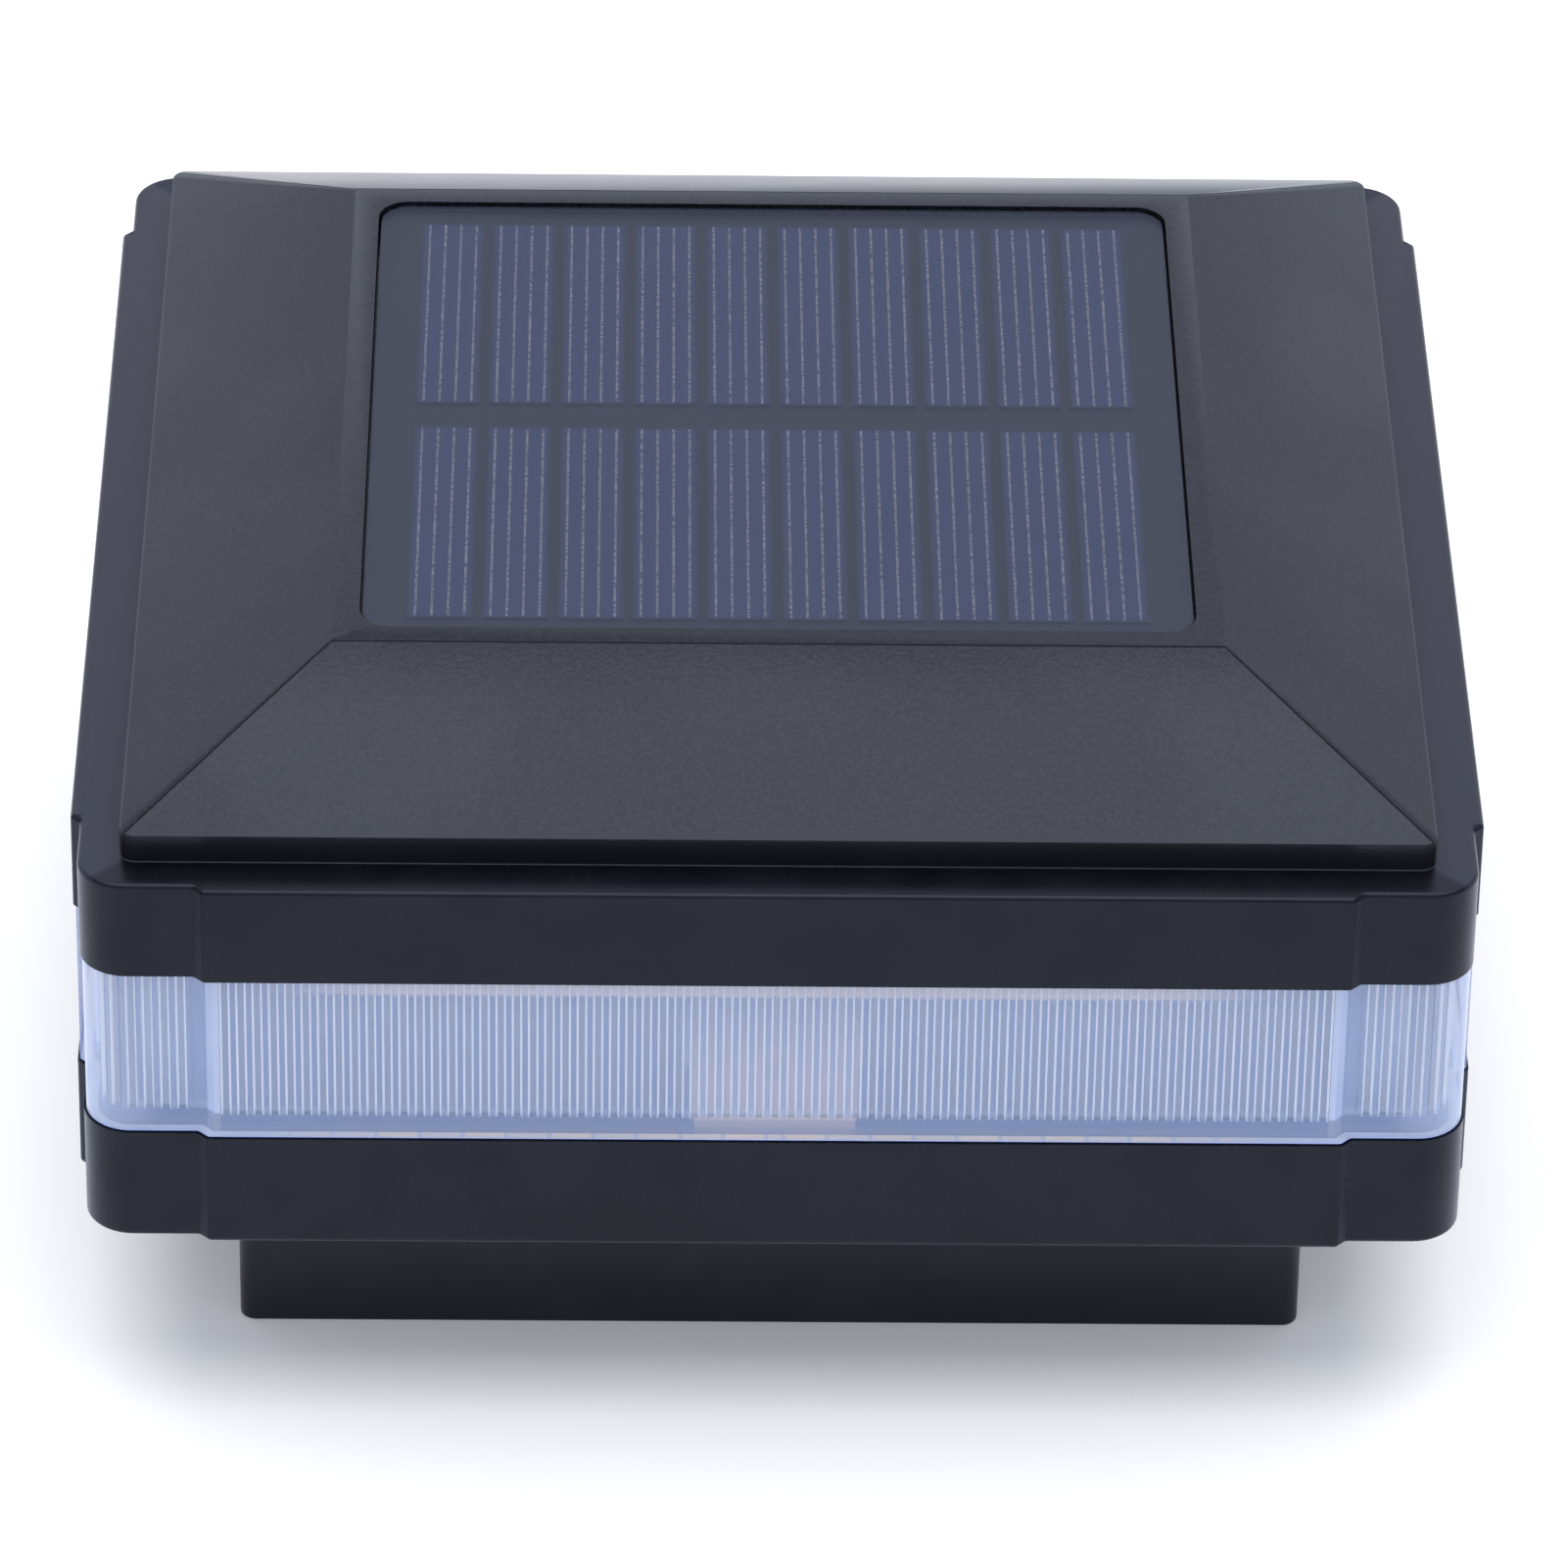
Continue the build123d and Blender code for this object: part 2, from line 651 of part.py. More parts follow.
with BuildPart() as battery_door_seal:
    with BuildSketch(Plane.XY.offset(door_top)):
        with Locations((0, bay_y)):
            Rectangle(2 * (bay_half_length + door_seal_width), 2 * (bay_half_width + door_seal_width))
            Rectangle(2 * bay_half_length, 2 * bay_half_width, mode=Mode.SUBTRACT)
    extrude(amount=door_seal_thick)
battery_door_seal.part.label = "battery_door_seal"
export_step(battery_door_seal.part, "parts/battery_door_seal.step")

with BuildPart() as battery_door_screws:
    cone_height = (small_head - small_screw) / 2
    for place in door_screw_places:
        with BuildSketch(Plane.XZ.offset(-bay_y)):
            with BuildLine():
                Polyline(
                    (place[0], door_bottom),
                    (place[0] + small_head / 2, door_bottom),
                    (place[0] + small_screw / 2, door_bottom + cone_height),
                    (place[0] + small_screw / 2, base_bottom + small_grip),
                    (place[0], base_bottom + small_grip),
                    close=True,
                )
            make_face()
        revolve(axis=Axis((place[0], bay_y, 0), (0, 0, 1)))
battery_door_screws.part.label = "battery_door_screws"
export_step(battery_door_screws.part, "parts/battery_door_screws.step")

# Control board with its sockets, chip, coil and capacitor
with BuildPart() as control_board:
    with BuildSketch(Plane.XY.offset(board_bottom)):
        with Locations((0, board_y)):
            RectangleRounded(board_width, board_depth, board_corner)
    extrude(amount=board_thick)
    bore_holes(board_screw_places, board_bottom, board_top, small_screw + 2 * hole_gap)
control_board.part.label = "control_board"
export_step(control_board.part, "parts/control_board.step")

with BuildPart() as wire_sockets:
    with BuildSketch(Plane.XY.offset(board_top)):
        with Locations(panel_socket_place, battery_socket_place):
            Rectangle(socket_width, socket_depth)
        for side, turn in sides.items():
            lane, distance = led_socket_places[side]
            spot = side_plane(turn, distance, 0).from_local_coords((lane, 0, 0))
            with Locations((spot.X, spot.Y)):
                Rectangle(socket_width, socket_depth, rotation=turn)
    extrude(amount=socket_height)
wire_sockets.part.label = "wire_sockets"
export_step(wire_sockets.part, "parts/wire_sockets.step")

with BuildPart() as control_chip:
    with Locations((0, board_y, board_top)):
        Box(*chip_size, align=(Align.CENTER, Align.CENTER, Align.MIN))
control_chip.part.label = "control_chip"
export_step(control_chip.part, "parts/control_chip.step")

with BuildPart() as power_inductor:
    with Locations((coil_lane, board_y, board_top)):
        Box(*inductor_size, align=(Align.CENTER, Align.CENTER, Align.MIN))
    fillet(power_inductor.edges().filter_by(Axis.Z), radius=inductor_round)
power_inductor.part.label = "power_inductor"
export_step(power_inductor.part, "parts/power_inductor.step")

with BuildPart() as storage_capacitor:
    with BuildSketch(Plane.XY.offset(board_top)):
        with Locations((-coil_lane, board_y)):
            Circle(capacitor_diameter / 2)
    extrude(amount=capacitor_height)
storage_capacitor.part.label = "storage_capacitor"
export_step(storage_capacitor.part, "parts/storage_capacitor.step")

# Switch under the board, its button and the seal round it
with BuildPart() as switch_body:
    with BuildSketch(Plane.XY.offset(switch_bottom)):
        with Locations((0, board_y)):
            Rectangle(switch_size, switch_size)
    extrude(amount=switch_height)
    bore_holes(
        [(0, board_y)], switch_bottom, plunger_top + button_travel + nest_gap, plunger_diameter + 2 * nest_gap
    )
switch_body.part.label = "switch_body"
export_step(switch_body.part, "parts/switch_body.step")

with BuildPart() as switch_button:
    posts([(0, board_y)], button_bottom, flange_bottom, button_diameter)
    fillet(switch_button.edges().group_by(Axis.Z)[0], radius=edge_round)
    posts([(0, board_y)], flange_bottom, flange_top, button_flange)
    posts([(0, board_y)], flange_top, plunger_top, plunger_diameter)
switch_button.part.label = "switch_button"
export_step(switch_button.part, "parts/switch_button.step")

with BuildPart() as button_seal:
    with BuildSketch(Plane.XY.offset(floor_top)):
        with Locations((0, board_y)):
            Circle(button_flange / 2 + nest_gap + seal_wall)
            Circle(button_flange / 2 + nest_gap, mode=Mode.SUBTRACT)
    extrude(amount=button_flange_thick + nest_gap)
button_seal.part.label = "button_seal"
export_step(button_seal.part, "parts/button_seal.step")

# Screws
with BuildPart() as case_screws:
    case_seat = base_bottom + case_bore_depth
    pan_screw(
        column_places, case_seat, column_top + case_grip - case_seat, case_screw, case_head, case_head_height
    )
case_screws.part.label = "case_screws"
export_step(case_screws.part, "parts/case_screws.step")

with BuildPart() as roof_screws:
    roof_screw_length = plate_thick + roof_grip - hole_gap
    pan_screw(
        roof_screw_places, plate_bottom, roof_screw_length, small_screw, small_head, small_head_height
    )
roof_screws.part.label = "roof_screws"
export_step(roof_screws.part, "parts/roof_screws.step")

with BuildPart() as board_screws:
    pan_screw(
        board_screw_places,
        board_top,
        board_thick + small_grip - hole_gap,
        small_screw,
        small_head,
        small_head_height,
        upward=False,
    )
board_screws.part.label = "board_screws"
export_step(board_screws.part, "parts/board_screws.step")

# Wires inside the case
half_pitch = wire_pitch / 2
with BuildPart() as panel_lead:
    exact_volume = 0
    lead_x, lead_y = panel_lead_place
    end_y = panel_socket_place[1]
    for x in (lead_x - half_pitch, lead_x + half_pitch):
        exact_volume += wire([
            (x, lead_y, backing_bottom),
            (x, lead_y, backing_bottom - 12),
            (x, lead_y + 4, backing_bottom - 24),
            (x, end_y - 1, socket_top + 14),
            (x, end_y, socket_top + 9),
            (x, end_y, socket_top),
        ])
    print("panel_lead", panel_lead.part.volume / exact_volume)
panel_lead.part.label = "panel_lead"
export_step(panel_lead.part, "parts/panel_lead.step")

with BuildPart() as battery_leads:
    exact_volume = 0
    contact_top = battery_axis + contact_height / 2
    socket_x, socket_y = battery_socket_place
    exact_volume += wire([
        (contact_lead_x, bay_y, contact_top),
        (contact_lead_x, bay_y, contact_top + 10),
        (contact_lead_x - 9, bay_y + 7, contact_top + 16),
        (socket_x + 18, socket_y - 8, socket_top + 10),
        (socket_x + half_pitch, socket_y, socket_top + 8),
        (socket_x + half_pitch, socket_y, socket_top),
    ])
    exact_volume += wire([
        (-contact_lead_x, bay_y, contact_top),
        (-contact_lead_x, bay_y, contact_top + 10),
        (-contact_lead_x + 9, bay_y + 9, contact_top + 16),
        (socket_x - 9, socket_y - 5, socket_top + 10),
        (socket_x - half_pitch, socket_y, socket_top + 8),
        (socket_x - half_pitch, socket_y, socket_top),
    ])
    print("battery_leads", battery_leads.part.volume / exact_volume)
battery_leads.part.label = "battery_leads"
export_step(battery_leads.part, "parts/battery_leads.step")

with BuildPart() as led_leads:
    exact_volume = 0
    for side, turn in sides.items():
        lane, distance = led_socket_places[side]
        start_lane = led_lead_lanes[side]
        middle_lane = (lane + start_lane) / 2
        upright = side_plane(turn, 0, 0)
        crest = socket_top + led_lead_crests[side]
        for shift in (-half_pitch, half_pitch):
            route = [
                (start_lane + shift, led_lead_height, light_wall_half),
                (start_lane + shift, led_lead_height, light_wall_half - 7),
                (start_lane + shift, led_lead_height + 7, light_wall_half - 14),
                (middle_lane + shift, crest, distance + 10),
                (lane + shift, crest - 1, distance + 3.5),
                (lane + shift, crest - 7, distance),
                (lane + shift, socket_top, distance),
            ]
            exact_volume += wire([upright.from_local_coords(point) for point in route])
    print("led_leads", led_leads.part.volume / exact_volume)
led_leads.part.label = "led_leads"
export_step(led_leads.part, "parts/led_leads.step")
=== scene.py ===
import math

import bmesh
import bpy
from mathutils import Matrix, Quaternion, Vector


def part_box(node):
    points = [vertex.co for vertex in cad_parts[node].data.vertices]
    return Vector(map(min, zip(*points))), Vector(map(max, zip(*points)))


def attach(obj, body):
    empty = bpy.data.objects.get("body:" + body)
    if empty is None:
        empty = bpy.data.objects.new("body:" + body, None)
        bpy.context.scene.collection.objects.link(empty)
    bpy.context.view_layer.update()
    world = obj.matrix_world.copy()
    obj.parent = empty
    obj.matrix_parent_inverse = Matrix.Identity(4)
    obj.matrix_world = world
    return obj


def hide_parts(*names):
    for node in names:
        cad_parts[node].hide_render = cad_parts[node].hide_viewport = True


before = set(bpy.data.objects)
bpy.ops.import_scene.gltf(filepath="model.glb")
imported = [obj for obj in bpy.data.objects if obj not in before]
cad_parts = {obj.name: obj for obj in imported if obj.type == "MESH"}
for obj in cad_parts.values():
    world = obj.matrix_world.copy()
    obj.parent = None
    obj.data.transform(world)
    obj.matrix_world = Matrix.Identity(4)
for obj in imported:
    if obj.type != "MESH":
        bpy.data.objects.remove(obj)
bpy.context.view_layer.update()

# Millimetres are written as they are measured, and become metres here
MM = 0.001

# Camera, as the photograph was taken
camera_place = Vector((-0.01794, -1.07656, 0.75401))
camera_target = Vector((0.00193, 0, 0.0374))
camera_roll = math.radians(0.989)
camera_lens = 229.0
camera_sensor = 36.0

# Plan of the body
raised_margin = 16.6 * MM
corner_step = 1.25 * MM
platform_half = 54.6 * MM
lip_inner = 78.8 * MM
lip_height = 3.8 * MM
step_angle = math.radians(45)
corner_radius = 6 * MM
step_round = 0.8 * MM
inner_step_round = 0.2 * MM
arc_steps = 10
quarter_turns = [Matrix.Rotation(math.pi / 2 * quarter, 2) for quarter in range(4)]

# Lens wall, its ribs and its foot
lens_inset = 0.3 * MM
lens_edge = 0.15 * MM
tongue_inset = 2.15 * MM
tongue_inner = 3.05 * MM
tongue_depth = 2.6 * MM
rib_root = 2.25 * MM
rib_crest = 2.6 * MM
rib_foot = 2.3 * MM  # plain band under the ribs
rib_width = 1.3 * MM
rib_draft = 0.27 * MM  # slope of each rib side
rib_sink = 0.05 * MM  # how far a rib reaches into the wall
rib_row = 135.4 * MM  # length of the rows between the corner steps
rib_count = 69
rib_pitch = (rib_row - rib_width) / (rib_count - 1)
bead_end = 69.5 * MM  # pale bead beside each row
corner_rib_count = 10
corner_rib_start = 72.45 * MM
corner_pitch = 2.03 * MM
foot_lift = 0.05 * MM  # keeps the foot clear of the base
foot_inner = 1.75 * MM
foot_chamfer = 0.9 * MM
tab_pitch = 10.6 * MM  # marks along the foot
tab_length = 5.3 * MM
tab_start = 3.7 * MM

# How much of a rib's face points sideways, and how much of its crest points inwards
side_facing = 0.5
crest_facing = 0.9

# Cosine of the angle at which light leaves the lens: at its front, and the least that counts
front_slant = 0.83
least_slant = 0.04
even_blend = 0.5  # at which Facing is 1 less that cosine

# How milky and how pale each lens surface is, from 0 to 1; pale is its share of the painted highlight colour
# of the rib sides
skin_look = (0.12, 0.5)
wall_look = (0.58, 0.0)
crest_look = (0.53, 0.22)
side_look = (1.0, 1.0)
ledge_look = (0.85, 0.9)
band_look = (0.6, 0.0)
foot_look = (0.97, 0.8)
look_match = (0.005, 0.01)  # how near a stored number is to count as one of these

# Solar panel
cell_columns = 10
cell_rows = 2
cell_gap = 1.08 * MM
row_gap = 5.7 * MM
finger_count = 4
finger_pitch = 2.01 * MM
finger_width = 0.32 * MM
finger_thick = 0.02 * MM
finger_end = 0.4 * MM
cover_clearance = 0.04 * MM
cover_corner = 4 * MM
cover_edge = 0.12 * MM

# Screws
recess_width = 0.8 * MM
recess_depth = 0.9 * MM
cross_depth = 0.8 * MM  # second slot, less deep so that the floors don't coincide
recess_reach = 1.2  # length of a slot, in radii of the head
screw_sides = 32

# Softened edges of the mouldings
weld_distance = 0.002 * MM
flat_angle = math.radians(0.4)
smooth_angle = math.radians(28)
bevel_segments = 2
roof_round = 0.25 * MM
no_round = 0.0

# Stage and room
floor_half = 6.0
floor_opening = 60 * MM
floor_blur = 1 * MM
room_strength = 0.85

# Places taken from the frame
body_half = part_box("upper_collar")[1].x
base_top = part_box("lens_ring")[0].z + tongue_depth
foot_low = base_top + foot_lift
rib_end = base_top + rib_foot
lens_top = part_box("upper_collar")[0].z
collar_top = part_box("upper_collar")[1].z
lip_top = collar_top + lip_height
sleeve_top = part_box("post_sleeve")[1].z
roof_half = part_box("roof_cover")[1].x
cells_low, cells_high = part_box("solar_cells")
cover_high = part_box("panel_cover")[1]
board_low, board_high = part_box("led_board_front")
cell_width = (cells_high.x - cells_low.x - (cell_columns - 1) * cell_gap) / cell_columns
cell_depth = (cells_high.y - cells_low.y - (cell_rows - 1) * row_gap) / cell_rows
cell_pitch = cell_width + cell_gap
row_pitch = cell_depth + row_gap


class Socket:
    """One output of a node, so that an expression on it adds Math nodes."""

    def __init__(self, sheet, link):
        self.sheet = sheet
        self.link = link

    def out(self, name):
        """Another output of the same node."""
        return Socket(self.sheet, self.link.node.outputs[name])

    def math(self, operation, first, second=0.0):
        return self.sheet.add("ShaderNodeMath", {"operation": operation}, {0: first, 1: second})

    def __add__(self, other):
        return self.math("ADD", self, other)

    def __radd__(self, other):
        return self.math("ADD", other, self)

    def __sub__(self, other):
        return self.math("SUBTRACT", self, other)

    def __rsub__(self, other):
        return self.math("SUBTRACT", other, self)

    def __mul__(self, other):
        return self.math("MULTIPLY", self, other)

    def __rmul__(self, other):
        return self.math("MULTIPLY", other, self)

    def __truediv__(self, other):
        return self.math("DIVIDE", self, other)

    def __rtruediv__(self, other):
        return self.math("DIVIDE", other, self)

    def __abs__(self):
        return self.math("ABSOLUTE", self)

    def __mod__(self, other):
        return self.math("FLOORED_MODULO", self, other)

    def __pow__(self, other):
        return self.math("POWER", self, other)

    def larger(self, other):
        return self.math("MAXIMUM", self, other)

    def smaller(self, other):
        return self.math("MINIMUM", self, other)

    def above(self, other):
        """1 where this is greater, and 0 elsewhere."""
        return self.math("GREATER_THAN", self, other)

    def centred(self):
        """A pattern from 0 to 1, moved to lie about 0."""
        return self - 0.5

    def rise(self, low, high):
        """0 below low, 1 above high and smooth between them."""
        settings = {"interpolation_type": "SMOOTHSTEP"}
        return self.sheet.add("ShaderNodeMapRange", settings, {0: self, 1: low, 2: high})

    def fall(self, low, high):
        """1 below low, 0 above high and smooth between them."""
        return 1 - self.rise(low, high)


class Sheet:
    """A node tree that nodes are added to."""

    def __init__(self, tree):
        self.tree = tree

    def add(self, kind, settings=None, inputs=None, output=0):
        """Add a node: its settings first, then the values or links of its sockets."""
        node = self.tree.nodes.new(kind)
        for name, value in (settings or {}).items():
            setattr(node, name, value)
        for name, value in (inputs or {}).items():
            if isinstance(value, Socket):
                self.tree.links.new(value.link, node.inputs[name])
            else:
                node.inputs[name].default_value = value
        return Socket(self, node.outputs[output]) if node.outputs else None

    def join(self, pieces):
        """Several geometries as one."""
        together = self.add("GeometryNodeJoinGeometry")
        for piece in reversed(pieces):
            self.tree.links.new(piece.link, together.link.node.inputs[0])
        return together

    def vector(self, x=0.0, y=0.0, z=0.0):
        """Three numbers or sockets as a vector."""
        return self.add("ShaderNodeCombineXYZ", inputs={0: x, 1: y, 2: z})

    def split(self, vector):
        """A vector's x, y and z."""
        parts = self.add("ShaderNodeSeparateXYZ", inputs={0: vector})
        return parts, parts.out("Y"), parts.out("Z")

    def place(self):
        """Object coordinates as a vector."""
        return self.add("ShaderNodeTexCoord", output="Object")

    def axes(self):
        """Object coordinates as x, y and z."""
        return self.split(self.place())

    def noise(self, size, detail=2.0):
        """Cloudy pattern from 0 to 1 with lumps of the given size in metres."""
        inputs = {"Vector": self.place(), "Scale": 1 / size, "Detail": detail}
        return self.add("ShaderNodeTexNoise", inputs=inputs)

    def path_length(self):
        """How much further light goes through a wall than at the photograph's angle to its front."""
        facing = self.add("ShaderNodeLayerWeight", inputs={"Blend": even_blend}, output="Facing")
        return front_slant / (1 - facing).larger(least_slant)

    def attribute(self, name):
        """Number stored on the faces."""
        return self.add("ShaderNodeAttribute", {"attribute_name": name}, output="Fac")

    def blend(self, share, first, second):
        """Mix of two colours, which are a Mix node's inputs 6 and 7 and its output 2."""
        inputs = {0: share, 6: first, 7: second}
        return self.add("ShaderNodeMix", {"data_type": "RGBA"}, inputs, output=2)

    def bump(self, height, depth):
        """Normal of a surface raised by height times depth."""
        return self.add("ShaderNodeBump", inputs={"Height": height, "Distance": depth})


def shade(red, green, blue):
    """Colour with its alpha."""
    return (red, green, blue, 1.0)


def blank_material(name):
    """Material with an empty sheet."""
    finish = bpy.data.materials.new(name)
    finish.use_nodes = True
    sheet = Sheet(finish.node_tree)
    sheet.tree.nodes.clear()
    return finish, sheet


def make_finish(name, surface):
    """Material whose one shader takes what surface returns for its sockets."""
    finish, sheet = blank_material(name)
    shader = sheet.add("ShaderNodeBsdfPrincipled", inputs=surface(sheet))
    sheet.add("ShaderNodeOutputMaterial", inputs={"Surface": shader})
    return finish


# What all plain mouldings share: size and contrast of the clouds, and their share in the roughness
plain_cloud = 9 * MM
cloud_range = (0.3, 0.7)
cloud_roughness = 0.1
pit_roughness = 0.06
pit_detail = 3.0


def uneven(rough, clouds, pits):
    """Roughness that wanders a little with the clouds and the pits."""
    return rough + cloud_roughness * clouds.centred() + pit_roughness * pits.centred()


def moulded(name, dark, light, rough, grain, depth, **constants):
    """Plain moulded finish: cloudy colour, uneven gloss and a fine grain."""

    def surface(sheet):
        clouds = sheet.noise(plain_cloud)
        pits = sheet.noise(grain, pit_detail)
        return {
            "Base Color": sheet.blend(clouds.rise(*cloud_range), dark, light),
            "Roughness": uneven(rough, clouds, pits),
            "Normal": sheet.bump(pits, depth),
            **constants,
        }

    return make_finish(name, surface)


# Satin black of the collar, the base and the battery door
cool_gloss = shade(0.74, 0.81, 1.0)
body_gloss = {"Specular IOR Level": 0.36, "Specular Tint": cool_gloss}
body_dark = shade(0.004, 0.0042, 0.0065)
body_light = shade(0.0065, 0.0068, 0.01)
# Painted highlight: the collar's side ledges are paler than the rest and keep their gloss
side_ledge_highlight = shade(0.0115, 0.0115, 0.018)
body_roughness = 0.27
body_grain = 0.3 * MM
body_pit_depth = 0.006 * MM
body_dullness = 0.36  # as Metallic, which takes the gloss from a black face
# Painted shade: Metallic darkens the slanted steps of the corners
step_shade_metallic = 0.6
step_blur = 0.2 * MM
step_face = (-0.2 * MM, -0.1 * MM)  # from the face of the stepped-back corners
ledge_zone = (-0.5 * MM, -0.2 * MM)  # from the collar's top
mitre_blur = 1 * MM
underside_blur = 1 * MM


def body_surface(sheet):
    """Satin black plastic, with a painted highlight on the side ledges, which are paler and glossiest, and
    painted shade on the slanted steps, which are dullest.
    """
    x, y, z = sheet.axes()
    clouds = sheet.noise(plain_cloud)
    pits = sheet.noise(body_grain, pit_detail)
    past_step = abs(x).smaller(abs(y)) - (body_half - raised_margin)
    along_step = past_step.rise(-step_blur, 0) * past_step.fall(corner_step, corner_step + step_blur)
    past_face = abs(x).larger(abs(y)) - (body_half - corner_step)
    # Painted shade on the slanted steps, given through Metallic below
    step_shade = along_step * past_face.rise(*step_face)
    # Painted highlight on the side ledges: a paler colour, and none of the dulling Metallic
    side_ledge_sheen = (z - collar_top).rise(*ledge_zone) * (abs(x) - abs(y)).rise(-mitre_blur, mitre_blur)
    dull = (z - sleeve_top).rise(0, underside_blur) * (1 - side_ledge_sheen)
    plain = sheet.blend(clouds.rise(*cloud_range), body_dark, body_light)
    return {
        "Base Color": sheet.blend(side_ledge_sheen, plain, side_ledge_highlight),
        "Roughness": uneven(body_roughness, clouds, pits),
        "Metallic": (body_dullness * dull).larger(step_shade_metallic * step_shade),
        "Normal": sheet.bump(pits, body_pit_depth),
        **body_gloss,
    }


# Grained black of the roof
roof_gloss = {"Specular IOR Level": 0.32, "Specular Tint": cool_gloss}
# Colour of the grain's pits, which is also the painted shade of the dark lines
roof_pit_and_shade_line = shade(0.003, 0.003, 0.004)
roof_peak = shade(0.014, 0.0138, 0.017)
# Painted highlight: a thin pale line at the foot of the lip
roof_foot_highlight = shade(0.11, 0.11, 0.13)
# Painted highlight along the lip's top edge on the left and right sides
roof_rim_highlight = shade(0.027, 0.027, 0.031)
roof_cloud = 18 * MM
roof_grain = 0.5 * MM
roof_grain_range = (0.25, 0.75)
lip_grain = 0.5  # the lip is plain, between a pit and a peak
roof_pit_depth = 0.02 * MM
roof_roughness = 0.24
roof_cloud_roughness = 0.08
shade_line_roughness = 0.3
shade_line_metallic = 0.8
platform_dullness = 0.12
blotch_size = 40 * MM
blotch_detail = 1.0
blotch_range = (0.4, 0.62)
slope_blur = 0.3 * MM
# Widths of the thin dark lines of painted shade along the hips and the platform's front and back
hip_shade_line = (0.08 * MM, 0.24 * MM)
platform_shade_line = (0.05 * MM, 0.2 * MM)
platform_blur = 0.1 * MM
lip_blur = 0.3 * MM
foot_glint = (0.12 * MM, 0.18 * MM)  # from the collar's top
rim_zone = (-0.3 * MM, -0.2 * MM)  # from the lip's outer face, and from its top
rim_mitre = 0.2 * MM


def roof_surface(sheet):
    """Grained black plastic, with thin dark lines of painted shade at the hips and along the platform's front
    and back, and painted highlights along the side rims and at the lip's foot.
    """
    x, y, z = sheet.axes()
    clouds = sheet.noise(roof_cloud)
    pits = sheet.noise(roof_grain)
    blotches = sheet.noise(blotch_size, blotch_detail).rise(*blotch_range)
    outward = abs(x).larger(abs(y))
    on_slope = (outward - platform_half).rise(0, slope_blur)
    on_hip = abs(abs(x) - abs(y)).fall(*hip_shade_line) * on_slope
    by_platform = (abs(x) - platform_half).fall(0, platform_blur)
    on_edge = abs(abs(y) - platform_half).fall(*platform_shade_line) * by_platform
    # Painted shade: dark lines at the hips and at the platform's front and back edges
    shade_line = on_hip.larger(on_edge)
    off_lip = (outward - lip_inner).fall(-lip_blur, 0)
    grain = lip_grain + pits.rise(*roof_grain_range).centred() * off_lip
    # Painted highlight along the foot of the lip, just above the collar's top
    on_foot = (z - collar_top).fall(*foot_glint)
    on_rim = (outward - roof_half).rise(*rim_zone) * (z - lip_top).rise(*rim_zone)
    # Painted highlight along the side rims only
    side_rim_highlight = on_rim * (abs(x) - abs(y)).rise(0, rim_mitre)
    grained_and_shaded = sheet.blend(grain * (1 - shade_line), roof_pit_and_shade_line, roof_peak)
    rim_highlighted = sheet.blend(side_rim_highlight, grained_and_shaded, roof_rim_highlight)
    dull = platform_dullness - platform_dullness * on_slope * blotches
    return {
        "Base Color": sheet.blend(on_foot, rim_highlighted, roof_foot_highlight),
        "Roughness": roof_roughness + roof_cloud_roughness * clouds.centred() + shade_line_roughness * shade_line,
        "Metallic": (shade_line_metallic * shade_line).larger(dull),
        "Normal": sheet.bump(pits, roof_pit_depth),
        **roof_gloss,
    }


# Clear blue of the lens: colours, and how strong and how milky each zone is
lens_blue = shade(0.305, 0.41, 0.67)
# Painted highlight: the pale rib sides stand for the light that they refract, whiter under the collar
rib_highlight_pale = shade(0.78, 0.805, 0.89)
rib_highlight_white = shade(0.97, 0.95, 0.98)
# Painted light: a pink glow at the lens's top edge under the collar, grey on the wall
cap_glow_pink = shade(0.66, 0.6, 0.64)
cap_glow_grey = shade(0.486, 0.464, 0.524)
rib_end_blue = shade(0.56, 0.68, 0.94)
# Painted light: a pale pink patch in front of each light board
board_light_pink = shade(0.74, 0.68, 0.76)
strip_cream = shade(0.8, 0.73, 0.67)
tab_cream = shade(0.87, 0.76, 0.64)
tick_blue = shade(0.34, 0.45, 0.72)
strip_blue = shade(0.62, 0.68, 0.8)
foot_line_blue = shade(0.32, 0.42, 0.8)
bead_share = 0.35
cap_glow_share = 0.8
rib_end_share = 0.3
board_light_share = 0.75
board_light_low_share = 0.45
tick_share = 0.45
cap_milk = 0.35
bead_milk = 0.3
bend_milk = 0.2
foot_line_milk = 0.9
lens_specular = 0.7
lens_cloud = 7 * MM
lens_roughness = 0.2
lens_cloud_roughness = 0.1

# Where the zones of the lens begin and end
zone_blur = 0.1 * MM
rib_blur = 0.01 * MM
bead_blur = 0.2 * MM
cap_zone = (-3.5 * MM, -3.0 * MM)  # from the lens's top
cap_fade = (46 * MM, 66 * MM)  # from the middle of a side
rib_end_blur = 0.4 * MM
rib_end_fade = (0.9 * MM, 1.4 * MM)  # from the end of the ribs
patch_edge = (-1.3 * MM, -1 * MM)  # from the light board's end
patch_rise = (0.5 * MM, 0.8 * MM)  # from the base
patch_top = (-0.32 * MM, -0.22 * MM)  # from the end of the ribs
foot_face = (0.01 * MM, 0.02 * MM)  # from the foot's underside
tick_reach = (0.1 * MM, 0.4 * MM)
strip_fade = (44 * MM, 68 * MM)
foot_line = (0.28 * MM, 0.38 * MM)  # from the base
bend_zone = (74 * MM, 80 * MM)


def repeat(along, pitch):
    """Distance from the nearest of marks that repeat at a pitch, one of them at 0."""
    return abs((along / pitch + 0.5) % 1 - 0.5) * pitch


